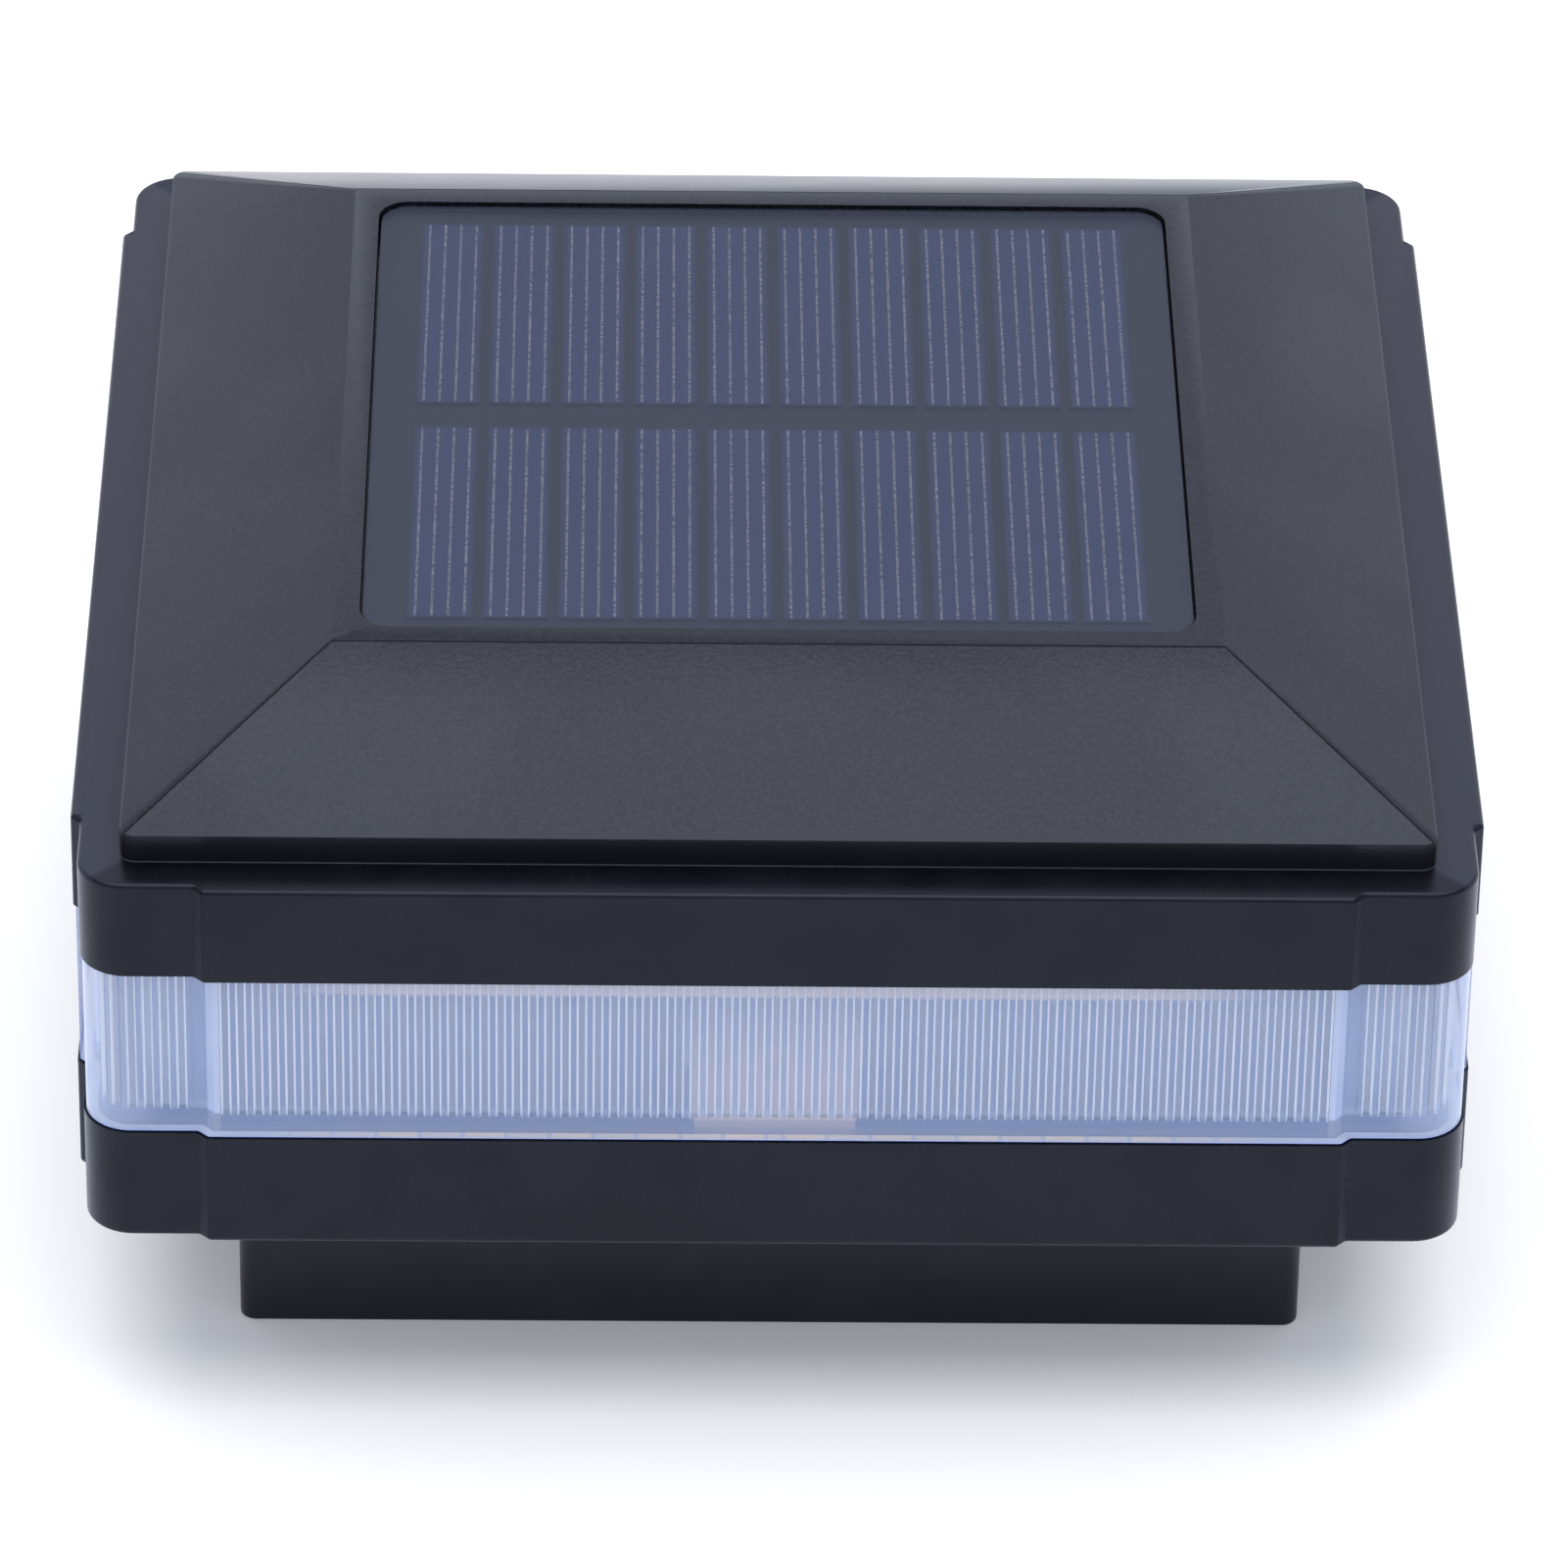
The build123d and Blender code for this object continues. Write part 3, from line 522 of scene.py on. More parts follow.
def under_ribs(along):
    """Stretches of the wall that a rib covers."""
    in_row = (along - rib_row / 2).fall(0, zone_blur)
    at_corner = (along - (corner_rib_start - rib_width)).rise(0, zone_blur)
    at_step = (1 - in_row) * (1 - at_corner)
    from_rib = repeat(along, rib_pitch) * in_row + repeat(along - corner_rib_start, corner_pitch) * at_corner
    return (from_rib - rib_width / 2).fall(-rib_blur, rib_blur) * (1 - at_step)


def board_light_patch(along, z):
    """Painted light on the foot in front of a light board: a pale patch for the light that the white board
    sends into the lens.
    """
    beside = (along - board_high.x).fall(*patch_edge)
    risen = board_light_low_share + (1 - board_light_low_share) * (z - base_top).rise(*patch_rise)
    return beside * risen * (z - rib_end).fall(*patch_top)


def foot_strip(sheet, along):
    """Colour of the foot's underside: cream marks with blue ticks, and blue towards the corners."""
    past_tab = repeat(along - tab_start, tab_pitch) - tab_length / 2
    tabs = sheet.blend(past_tab.fall(-zone_blur, zone_blur), strip_cream, tab_cream)
    ticked = sheet.blend(tick_share * abs(past_tab).fall(*tick_reach), tabs, tick_blue)
    return sheet.blend(along.rise(*strip_fade), ticked, strip_blue)


def lens_surface(sheet):
    """Clear blue plastic, milky where light gathers: on rib sides, at the top edge and along the foot. That
    light is also painted: pale highlights on the rib sides, whiter under the collar, a pink glow at the top
    edge and a pale patch in front of each board.
    """
    x, y, z = sheet.axes()
    frost = sheet.attribute("frost")
    pale = sheet.attribute("pale")
    along = abs(x).smaller(abs(y))
    clouds = sheet.noise(lens_cloud)
    on_wall = 1 - abs(frost - wall_look[0]).rise(*look_match)
    on_skin = 1 - abs(frost - skin_look[0]).rise(*look_match)

    # Zones of the wall, from the collar down to the base
    on_bead = (along - rib_row / 2).rise(0, zone_blur) * (along - bead_end).fall(-bead_blur, 0)
    under_collar = (z - lens_top).rise(*cap_zone) * along.fall(*cap_fade) * (1 - on_skin)
    at_rib_end = (z - rib_end).rise(-rib_end_blur, 0) * (z - rib_end).fall(*rib_end_fade)
    on_foot = (z - foot_low).fall(*foot_face)
    # Painted light in front of each light board
    board_light = board_light_patch(along, z) * (1 - on_skin) * (1 - on_foot)
    on_line = (z - base_top).fall(*foot_line) * on_skin

    # Colour, with each zone laid over the one before
    # Painted highlight on the rib sides, whiter under the collar
    rib_highlight = sheet.blend(under_collar, rib_highlight_pale, rib_highlight_white)
    tinted = sheet.blend(pale.larger(bead_share * on_bead), lens_blue, rib_highlight)
    # Painted light along the top edge, under the collar
    cap_glow = sheet.blend(on_wall, cap_glow_pink, cap_glow_grey)
    cap_glowed = sheet.blend(cap_glow_share * under_collar * (1 - pale), tinted, cap_glow)
    ended = sheet.blend(rib_end_share * at_rib_end, cap_glowed, rib_end_blue)
    board_lit = sheet.blend(board_light_share * board_light, ended, board_light_pink)
    footed = sheet.blend(on_foot, board_lit, foot_strip(sheet, along))

    # Milkiness, which the ribs take over from the wall that they cover
    open_wall = 1 - on_wall * under_ribs(along)
    at_bend = along.rise(*bend_zone) * on_skin
    milk = (frost + cap_milk * under_collar) * open_wall + bead_milk * on_wall * on_bead + bend_milk * at_bend
    clear = 1 - milk.larger(foot_line_milk * on_line).smaller(1)
    return {
        "Base Color": sheet.blend(on_line, footed, foot_line_blue),
        "Roughness": lens_roughness + lens_cloud_roughness * clouds,
        "Alpha": 1 - clear ** sheet.path_length(),
        "Specular IOR Level": lens_specular,
    }


# Silicon of the cells
cell_blue = shade(0.028, 0.055, 0.19)
cell_bright_blue = shade(0.036, 0.065, 0.22)
cell_sparkle = shade(0.045, 0.06, 0.21)
cell_rim = shade(0.02, 0.025, 0.06)
cell_rim_fade = (0.05 * MM, 0.75 * MM)
cell_cloud = 12 * MM
crystal_size = 0.5 * MM
crystal_range = (0.45, 0.75)
crystal_depth = 0.0004 * MM
cell_roughness = 0.4
crystal_roughness = 0.1


def cell_surface(sheet):
    """Blue silicon strips whose edges fade into the dark board."""
    x, y, _ = sheet.axes()
    across = abs((x - cells_low.x) % cell_pitch - cell_width / 2)
    along = abs((y - cells_low.y) % row_pitch - cell_depth / 2)
    from_edge = (cell_width / 2 - across).smaller(cell_depth / 2 - along)
    crystals = sheet.noise(crystal_size, pit_detail)
    blue = sheet.blend(sheet.noise(cell_cloud), cell_blue, cell_bright_blue)
    sparkling = sheet.blend(crystals.rise(*crystal_range), blue, cell_sparkle)
    return {
        "Base Color": sheet.blend(from_edge.rise(*cell_rim_fade), cell_rim, sparkling),
        "Roughness": cell_roughness + crystal_roughness * crystals,
        "Normal": sheet.bump(crystals, crystal_depth),
    }


# Printed silver of the fingers
finger_thin = shade(0.16, 0.19, 0.34)
finger_full = shade(0.62, 0.62, 0.7)
speck_size = 0.45 * MM
speck_range = (0.3, 0.62)
finger_roughness = 0.55
speck_polish = 0.15
finger_least = 0.55
finger_print = 0.4


def finger_surface(sheet):
    """Printed silver lines, speckled where the print is thin."""
    specks = sheet.noise(speck_size, pit_detail)
    printed = specks.rise(*speck_range)
    return {
        "Base Color": sheet.blend(printed, finger_thin, finger_full),
        "Roughness": finger_roughness - speck_polish * specks,
        "Alpha": finger_least + finger_print * printed,
    }


# Film over the cells
film_dark = shade(0.008, 0.011, 0.03)
film_light = shade(0.012, 0.016, 0.04)
film_gloss = {"Specular IOR Level": 0.9, "Specular Tint": shade(0.78, 0.86, 1.0)}
film_cloud = 20 * MM
film_frosting = 0.25 * MM
film_depth = 0.0004 * MM
film_roughness = 0.3
film_cloud_roughness = 0.08
film_cover = 0.34
film_cloud_cover = 0.04


def cover_surface(sheet):
    """Clear satin film over the cells."""
    clouds = sheet.noise(film_cloud)
    return {
        "Base Color": sheet.blend(clouds, film_dark, film_light),
        "Roughness": film_roughness + film_cloud_roughness * clouds,
        "Normal": sheet.bump(sheet.noise(film_frosting), film_depth),
        "Alpha": film_cover + film_cloud_cover * clouds,
        **film_gloss,
    }


# Solder mask of the light boards
mask_dark = shade(0.97, 0.85, 0.86)
mask_light = shade(0.98, 0.88, 0.88)
mask_shaded = shade(0.6, 0.64, 0.73)
foot_glow = shade(1.0, 0.8, 0.62)
upper_glow = shade(0.1, 0.1, 0.1)
glow_strength = 0.18
mask_foot = 6 * MM
mask_roughness = 0.4
mask_grain = 0.4 * MM
mask_pit_depth = 0.006 * MM


def board_surface(sheet):
    """White solder mask, brightest at the foot of the board, where most daylight falls on it."""
    _, _, z = sheet.axes()
    upper = z.rise(board_low.z + mask_foot, board_high.z)
    clouds = sheet.noise(plain_cloud)
    mask = sheet.blend(clouds.rise(*cloud_range), mask_dark, mask_light)
    return {
        "Base Color": sheet.blend(upper, mask, mask_shaded),
        "Roughness": mask_roughness + cloud_roughness * clouds.centred(),
        "Normal": sheet.bump(sheet.noise(mask_grain, pit_detail), mask_pit_depth),
        "Emission Color": sheet.blend(upper, foot_glow, upper_glow),
        "Emission Strength": glow_strength,
    }


# Solder mask of the control board
mask_green = shade(0.012, 0.075, 0.03)
track_green = shade(0.03, 0.16, 0.06)
track_pitch = 3.2 * MM
track_edge = (0.35 * MM, 0.5 * MM)
track_wander = 5 * MM
weave_size = 0.6 * MM
weave_height = 0.1
track_depth = 0.02 * MM
circuit_roughness = 0.38
weave_roughness = 0.12


def circuit_surface(sheet):
    """Green solder mask with paler copper tracks under it."""
    x, _, _ = sheet.axes()
    wander = sheet.noise(plain_cloud) * track_wander
    across = abs((x + wander) % track_pitch - track_pitch / 2)
    track = across.fall(*track_edge)
    weave = sheet.noise(weave_size)
    return {
        "Base Color": sheet.blend(track, mask_green, track_green),
        "Roughness": circuit_roughness + weave_roughness * weave,
        "Normal": sheet.bump(track + weave_height * weave, track_depth),
    }


# Vinyl of the wires
vinyl_black = shade(0.015, 0.015, 0.017)
vinyl_red = shade(0.35, 0.02, 0.02)
vinyl_blur = 0.2 * MM
vinyl_specks = 1.5 * MM
vinyl_depth = 0.01 * MM
vinyl_roughness = 0.42
vinyl_speck_roughness = 0.12


def wire_surface(sheet):
    """Vinyl, red or black by side."""
    x, y, _ = sheet.axes()
    lane = (x + y).rise(-vinyl_blur, vinyl_blur)
    specks = sheet.noise(vinyl_specks)
    return {
        "Base Color": sheet.blend(lane, vinyl_black, vinyl_red),
        "Roughness": vinyl_roughness + vinyl_speck_roughness * specks,
        "Normal": sheet.bump(specks, vinyl_depth),
    }


# Paper of the floor, which glows a little so that it is nearly white
floor_paper = {
    "Base Color": shade(0.93, 0.92, 0.88),
    "Roughness": 1.0,
    "Specular IOR Level": 0.0,
    "Emission Color": shade(1.0, 0.99, 0.95),
    "Emission Strength": 0.12,
}


def floor_finish():
    """Matt white paper, clear from below and open under the socket, so that light gets in there."""
    finish, sheet = blank_material("floor_paper")
    x, y, _ = sheet.axes()
    paper = sheet.add("ShaderNodeBsdfPrincipled", inputs=floor_paper)
    clear = sheet.add("ShaderNodeBsdfTransparent")
    behind = sheet.add("ShaderNodeNewGeometry", output="Backfacing")
    under_socket = abs(x).larger(abs(y)).fall(floor_opening, floor_opening + floor_blur)
    mix = sheet.add("ShaderNodeMixShader", inputs={0: behind.larger(under_socket), 1: paper, 2: clear})
    sheet.add("ShaderNodeOutputMaterial", inputs={"Surface": mix})
    return finish


def rounded(corners):
    """Closed outline through corners with a radius each, as points along lines and arcs."""
    points = []
    neighbours = zip(corners[-1:] + corners, corners, corners[1:] + corners[:1])
    for (before, _), (corner, radius), (after, _) in neighbours:
        back = (before - corner).normalized()
        ahead = (after - corner).normalized()
        half = back.angle(ahead) / 2
        start = corner + back * radius / math.tan(half)
        centre = corner + (back + ahead).normalized() * radius / math.sin(half)
        way = math.copysign(math.pi - 2 * half, ahead.cross(back))
        for step in range(arc_steps + 1):
            points.append(centre + Matrix.Rotation(way * step / arc_steps, 2) @ (start - centre))
    return points


def body_outline(inset):
    """Plan of the body, inset from its outer face, as a closed list of points."""
    face = body_half - inset
    stand_back = face - corner_step
    reach = body_half - raised_margin - inset * math.tan(step_angle / 2)
    step_radius = step_round if inset <= lens_inset + lens_edge else inner_step_round
    side = [
        ((-reach - corner_step, -stand_back), step_radius),
        ((-reach, -face), step_radius),
        ((reach, -face), step_radius),
        ((reach + corner_step, -stand_back), step_radius),
        ((stand_back, -stand_back), corner_radius - inset),
    ]
    return rounded([(turn @ Vector(spot), radius) for turn in quarter_turns for spot, radius in side])


def add_object(name, data):
    """Object at the origin, in the scene."""
    piece = bpy.data.objects.new(name, data)
    bpy.context.scene.collection.objects.link(piece)
    return piece


def add_form(name, form, finish):
    """Object made from a finished form, which is freed."""
    mesh = bpy.data.meshes.new(name)
    form.to_mesh(mesh)
    form.free()
    mesh.materials.append(finish)
    return add_object(name, mesh)


def baked(piece):
    """Turn what the modifiers make into a plain mesh and remove them."""
    graph = bpy.context.evaluated_depsgraph_get()
    made = bpy.data.meshes.new_from_object(piece.evaluated_get(graph), depsgraph=graph)
    piece.modifiers.clear()
    piece.data = made
    return piece


def dress(piece, body, slot, *nodes):
    """Piece that rides on a body and stands for CAD nodes."""
    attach(piece, body)
    if nodes:
        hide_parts(*nodes)


def add_bevel(piece, width):
    """Bevel on the sharp edges of a piece."""
    bevel = piece.modifiers.new("rounding", "BEVEL")
    bevel.width = width
    bevel.segments = bevel_segments
    bevel.limit_method = "ANGLE"
    return bevel


def softened(node, name, finish, width):
    """Copy of a CAD node with smooth arcs and, where a width is given, its sharp edges rounded."""
    form = bmesh.new()
    form.from_mesh(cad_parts[node].data)
    bmesh.ops.remove_doubles(form, verts=form.verts, dist=weld_distance)
    bmesh.ops.dissolve_limit(form, angle_limit=flat_angle, verts=form.verts, edges=form.edges)
    for face in form.faces:
        face.smooth = True
        face.material_index = 0
    for edge in form.edges:
        edge.smooth = len(edge.link_faces) != 2 or edge.calc_face_angle() < smooth_angle
    piece = add_form(name, form, finish)
    if width:
        bevel = add_bevel(piece, width)
        bevel.angle_limit = smooth_angle
        bevel.harden_normals = True
        bevel.use_clamp_overlap = True
        baked(piece)
    return piece


length_input = "NodeSocketFloat"
count_input = "NodeSocketInt"
object_input = "NodeSocketObject"


def tree_with_inputs(name, inputs):
    """Geometry tree with a geometry input, named inputs and one geometry output."""
    tree = bpy.data.node_groups.new(name, "GeometryNodeTree")
    tree.interface.new_socket("Geometry", in_out="INPUT", socket_type="NodeSocketGeometry")
    for label, kind in inputs.items():
        tree.interface.new_socket(label, in_out="INPUT", socket_type=kind)
    tree.interface.new_socket("Geometry", in_out="OUTPUT", socket_type="NodeSocketGeometry")
    sheet = Sheet(tree)
    return sheet, sheet.add("NodeGroupInput")


def end_tree(sheet, geometry, finish):
    """Realize the instances, set the material and end the tree."""
    real = sheet.add("GeometryNodeRealizeInstances", inputs={"Geometry": geometry})
    coated = sheet.add("GeometryNodeSetMaterial", inputs={"Geometry": real, "Material": finish})
    sheet.add("NodeGroupOutput", inputs={0: coated})
    return sheet.tree


def grown(piece, tree, values):
    """Run a geometry tree on a piece with its named inputs, and bake it."""
    modifier = piece.modifiers.new(tree.name, "NODES")
    modifier.node_group = tree
    for item in tree.interface.items_tree:
        if item.in_out == "INPUT" and item.name in values:
            modifier[item.identifier] = values[item.name]
    return baked(piece)


def box_mesh(sheet, width, depth, height):
    """Box of three sizes, about the origin."""
    return sheet.add("GeometryNodeMeshCube", inputs={"Size": sheet.vector(width, depth, height)})


def instances(sheet, points, shape, **turns):
    """Copies of a shape on points."""
    inputs = {"Points": points, "Instance": shape, **turns}
    return sheet.add("GeometryNodeInstanceOnPoints", inputs=inputs)


def point_grid(sheet, width, depth, columns, rows):
    """Grid of points about the origin."""
    inputs = {"Size X": width, "Size Y": depth, "Vertices X": columns, "Vertices Y": rows}
    return sheet.add("GeometryNodeMeshGrid", inputs=inputs)


def moved(sheet, geometry, way):
    """Geometry moved by a vector."""
    return sheet.add("GeometryNodeTransform", inputs={"Geometry": geometry, "Translation": way})


def marked(sheet, geometry, looks):
    """Store how milky and how pale the chosen faces are, pale being their share of the painted highlight."""
    settings = {"data_type": "FLOAT", "domain": "FACE"}
    for chosen, look in looks:
        for name, value in zip(("frost", "pale"), look):
            inputs = {"Geometry": geometry, "Selection": chosen, "Name": name, "Value": value}
            geometry = sheet.add("GeometryNodeStoreNamedAttribute", settings, inputs)
    return geometry


def placed_along(sheet, path, count, shape):
    """Copies of a shape along each spline of a path, turned to follow it."""
    spots = sheet.add("GeometryNodeCurveToPoints", {"mode": "COUNT"}, {"Curve": path, "Count": count})
    tangent = {"Vector": spots.out("Tangent")}
    turn = sheet.add("FunctionNodeAlignRotationToVector", {"axis": "X"}, tangent)
    return instances(sheet, spots, shape, Rotation=turn)


def rib_mesh(sheet, start):
    """Rib: a box drawn in towards its crest, with how milky its sides and its crest are and how much painted
    highlight they take.
    """
    width = start.out("Rib Width")
    box = box_mesh(sheet, width, start.out("Rib Depth"), start.out("Rib Height"))
    x, y, z = sheet.split(sheet.add("GeometryNodeInputPosition"))
    drawn_in = x * (1 - y.above(0.0) * (2 * start.out("Rib Draft") / width))
    drafted = {"Geometry": box, "Position": sheet.vector(drawn_in, y, z)}
    rib = sheet.add("GeometryNodeSetPosition", inputs=drafted)
    sideways, inwards, _ = sheet.split(sheet.add("GeometryNodeInputNormal"))
    is_side = abs(sideways).above(side_facing)
    is_crest = inwards.above(crest_facing)
    return marked(sheet, rib, [(is_side, side_look), (is_crest, crest_look)])


def lens_tree(finish):
    """Lens wall with ribs along its inner face."""
    sheet, start = tree_with_inputs("lens_ribs", {
        "Rib Paths": object_input,
        "Corner Paths": object_input,
        "Rib Count": count_input,
        "Corner Rib Count": count_input,
        "Rib Width": length_input,
        "Rib Depth": length_input,
        "Rib Height": length_input,
        "Rib Draft": length_input,
    })
    rib = rib_mesh(sheet, start)
    geometry = [start.out("Geometry")]
    for path, count in (("Rib Paths", "Rib Count"), ("Corner Paths", "Corner Rib Count")):
        line = sheet.add("GeometryNodeObjectInfo", inputs={"Object": start.out(path)}, output="Geometry")
        geometry.append(placed_along(sheet, line, start.out(count), rib))
    return end_tree(sheet, sheet.join(geometry), finish)


def path_object(name, stretch, height):
    """Curve object with one open spline on each of the four sides."""
    data = bpy.data.curves.new(name, "CURVE")
    data.dimensions = "3D"
    for turn in quarter_turns:
        spline = data.splines.new("POLY")
        spline.points.add(len(stretch) - 1)
        for point, spot in zip(spline.points, stretch):
            point.co = (*(turn @ Vector(spot)), height, 1.0)
    return add_object(name, data)


def corner_stretch(inset):
    """Plan of one corner, from the step on one side to the step on the next."""
    face = body_half - corner_step - inset
    radius = corner_radius - inset
    centre = Vector((face - radius, radius - face))
    spoke = Vector((0, -radius))
    spots = [(corner_rib_start, -face)]
    for step in range(arc_steps + 1):
        spots.append(centre + Matrix.Rotation(math.pi / 2 * step / arc_steps, 2) @ spoke)
    return spots + [(face, -corner_rib_start)]


def lens_body(finish):
    """Lens wall as a closed band, with how milky each face is and how much painted highlight it takes."""
    low, high = foot_low, lens_top
    band_top = low + rib_foot
    wall = [
        (lens_inset + lens_edge, low, skin_look),
        (lens_inset, low + lens_edge, skin_look),
        (lens_inset, high - lens_edge, skin_look),
        (lens_inset + lens_edge, high, skin_look),
        (tongue_inset, high, skin_look),
        (tongue_inset, high + tongue_depth, skin_look),
        (tongue_inner, high + tongue_depth, skin_look),
        (tongue_inner, high, ledge_look),
        (rib_root, high, wall_look),
        (rib_root, band_top, ledge_look),
        (rib_crest, band_top - rib_draft, band_look),
        (rib_crest, low + foot_chamfer, band_look),
        (foot_inner, low, foot_look),
    ]
    tongue = [
        (tongue_inset, base_top - tongue_depth, band_look),
        (tongue_inset, low, band_look),
        (tongue_inner, low, band_look),
        (tongue_inner, base_top - tongue_depth, band_look),
    ]
    form = bmesh.new()
    frost = form.faces.layers.float.new("frost")
    pale = form.faces.layers.float.new("pale")
    for profile in (wall, tongue):
        rings = []
        for inset, height, _ in profile:
            rings.append([form.verts.new((*spot, height)) for spot in body_outline(inset)])
        for (_, _, look), ring, following in zip(profile, rings, rings[1:] + rings[:1]):
            for first in range(len(ring)):
                corners = (ring[first - 1], ring[first], following[first], following[first - 1])
                face = form.faces.new(corners)
                face.smooth = True
                face[frost], face[pale] = look
    bmesh.ops.recalc_face_normals(form, faces=form.faces)
    for edge in form.edges:
        edge.smooth = edge.calc_face_angle() < smooth_angle
    return add_form("lens", form, finish)


def make_lens(finish):
    """Ribbed lens, which stands for the plain band in the frame."""
    rib_depth = rib_crest - rib_root + rib_sink
    middle = (rib_crest + rib_root - rib_sink) / 2
    rib_height = lens_top - base_top - rib_foot + rib_draft
    rib_middle = lens_top - rib_height / 2
    row_end = (rib_row - rib_width) / 2
    row = [(-row_end, middle - body_half), (row_end, middle - body_half)]
    rows = path_object("rib_rows", row, rib_middle)
    corners = path_object("rib_corners", corner_stretch(middle), rib_middle)
    lens = grown(lens_body(finish), lens_tree(finish), {
        "Rib Paths": rows,
        "Corner Paths": corners,
        "Rib Count": rib_count,
        "Corner Rib Count": corner_rib_count,
        "Rib Width": rib_width,
        "Rib Depth": rib_depth,
        "Rib Height": rib_height,
        "Rib Draft": rib_draft,
    })
    for path in (rows, corners):
        bpy.data.objects.remove(path)
    dress(lens, "housing", "lens_plastic", "lens_ring")


def finger_tree(finish):
    """Printed lines on every cell: a few lines to a cell, and a grid of cells."""
    sheet, start = tree_with_inputs("cell_fingers", {
        "Columns": count_input,
        "Rows": count_input,
        "Grid Width": length_input,
        "Grid Depth": length_input,
        "Fingers": count_input,
        "Finger Pitch": length_input,
        "Finger Width": length_input,
        "Finger Length": length_input,
        "Finger Thickness": length_input,
        "Height": length_input,
    })
    width, length = start.out("Finger Width"), start.out("Finger Length")
    strip = box_mesh(sheet, width, length, start.out("Finger Thickness"))
    pitch = start.out("Finger Pitch")
    first = pitch * (start.out("Fingers") - 1) / -2
    line = sheet.add("GeometryNodeMeshLine", inputs={
        "Count": start.out("Fingers"),
        "Start Location": sheet.vector(x=first, z=start.out("Height")),
        "Offset": sheet.vector(x=pitch),
    })
    cell = instances(sheet, line, strip)
    grid_width, grid_depth = start.out("Grid Width"), start.out("Grid Depth")
    grid = point_grid(sheet, grid_width, grid_depth, start.out("Columns"), start.out("Rows"))
    return end_tree(sheet, instances(sheet, grid, cell), finish)


def make_fingers(finish):
    """Printed lines on the cells."""
    piece = add_object("cell_fingers", bpy.data.meshes.new("cell_fingers"))
    grown(piece, finger_tree(finish), {
        "Columns": cell_columns,
        "Rows": cell_rows,
        "Grid Width": (cell_columns - 1) * cell_pitch,
        "Grid Depth": (cell_rows - 1) * row_pitch,
        "Fingers": finger_count,
        "Finger Pitch": finger_pitch,
        "Finger Width": finger_width,
        "Finger Length": cell_depth - 2 * finger_end,
        "Finger Thickness": finger_thick,
        "Height": cells_high.z + finger_thick / 2,
    })
    dress(piece, "housing", "contact_metal")


def make_cover(finish):
    """Clear cover over the cells, with a softened edge."""
    half = cover_high.x
    low = cells_high.z + cover_clearance
    corners = [(Vector((x * half, y * half)), cover_corner) for x, y in ((-1, -1), (1, -1), (1, 1), (-1, 1))]
    form = bmesh.new()
    floor = form.faces.new([form.verts.new((*spot, low)) for spot in rounded(corners)])
    raised = bmesh.ops.extrude_face_region(form, geom=[floor])["geom"]
    top = [part for part in raised if isinstance(part, bmesh.types.BMVert)]
    bmesh.ops.translate(form, verts=top, vec=Vector((0, 0, cover_high.z - low)))
    bmesh.ops.recalc_face_normals(form, faces=form.faces)
    piece = add_form("clear_cover", form, finish)
    add_bevel(piece, cover_edge)
    baked(piece)
    dress(piece, "housing", "panel_cover", "panel_cover")


def screw_tree(finish):
    """Cross-head screws on a grid, with their heads facing down."""
    sheet, start = tree_with_inputs("cross_head_screws", {
        "Columns": count_input,
        "Rows": count_input,
        "Spacing X": length_input,
        "Spacing Y": length_input,
        "Middle Y": length_input,
        "Head Face": length_input,
        "Head Radius": length_input,
        "Neck Radius": length_input,
        "Head Height": length_input,
        "Shank Radius": length_input,
        "Length": length_input,
        "Recess Width": length_input,
        "Recess Depth": length_input,
        "Cross Depth": length_input,
    })
    head_height = start.out("Head Height")
    head = sheet.add("GeometryNodeMeshCone", inputs={
        "Vertices": screw_sides,
        "Radius Top": start.out("Neck Radius"),
        "Radius Bottom": start.out("Head Radius"),
        "Depth": head_height,
    })
    arm = start.out("Head Radius") * recess_reach
    slot_width = start.out("Recess Width")
    for width, depth, sink in ((arm, slot_width, "Recess Depth"), (slot_width, arm, "Cross Depth")):
        slot = box_mesh(sheet, width, depth, 2 * start.out(sink))
        cut = {"Mesh 1": head, "Mesh 2": slot}
        head = sheet.add("GeometryNodeMeshBoolean", {"operation": "DIFFERENCE"}, cut)
    shank = sheet.add("GeometryNodeMeshCylinder", inputs={
        "Vertices": screw_sides,
        "Radius": start.out("Shank Radius"),
        "Depth": start.out("Length") - head_height,
    })
    shank_middle = (start.out("Length") + head_height) / 2
    screw = sheet.join([moved(sheet, shank, sheet.vector(z=shank_middle)), head])
    spacing_x, spacing_y = start.out("Spacing X"), start.out("Spacing Y")
    grid = point_grid(sheet, spacing_x, spacing_y, start.out("Columns"), start.out("Rows"))
    middle = sheet.vector(y=start.out("Middle Y"), z=start.out("Head Face"))
    return end_tree(sheet, instances(sheet, moved(sheet, grid, middle), screw), finish)


def make_screws(node, body, tree, head, neck, head_height, shank, columns, rows):
    """Screws with crossed recesses in place of plain ones in the frame."""
    low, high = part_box(node)
    piece = add_object(f"{node}_crossed", bpy.data.meshes.new(node))
    grown(piece, tree, {
        "Columns": columns,
        "Rows": rows,
        "Spacing X": high.x - low.x - head,
        "Spacing Y": (high.y - low.y - head) if rows > 1 else 0.0,
        "Middle Y": (low.y + high.y) / 2,
        "Head Face": low.z,
        "Head Radius": head / 2,
        "Neck Radius": neck / 2,
        "Head Height": head_height,
        "Shank Radius": shank / 2,
        "Length": high.z - low.z,
        "Recess Width": recess_width,
        "Recess Depth": recess_depth,
        "Cross Depth": cross_depth,
    })
    dress(piece, body, "screw_steel", node)


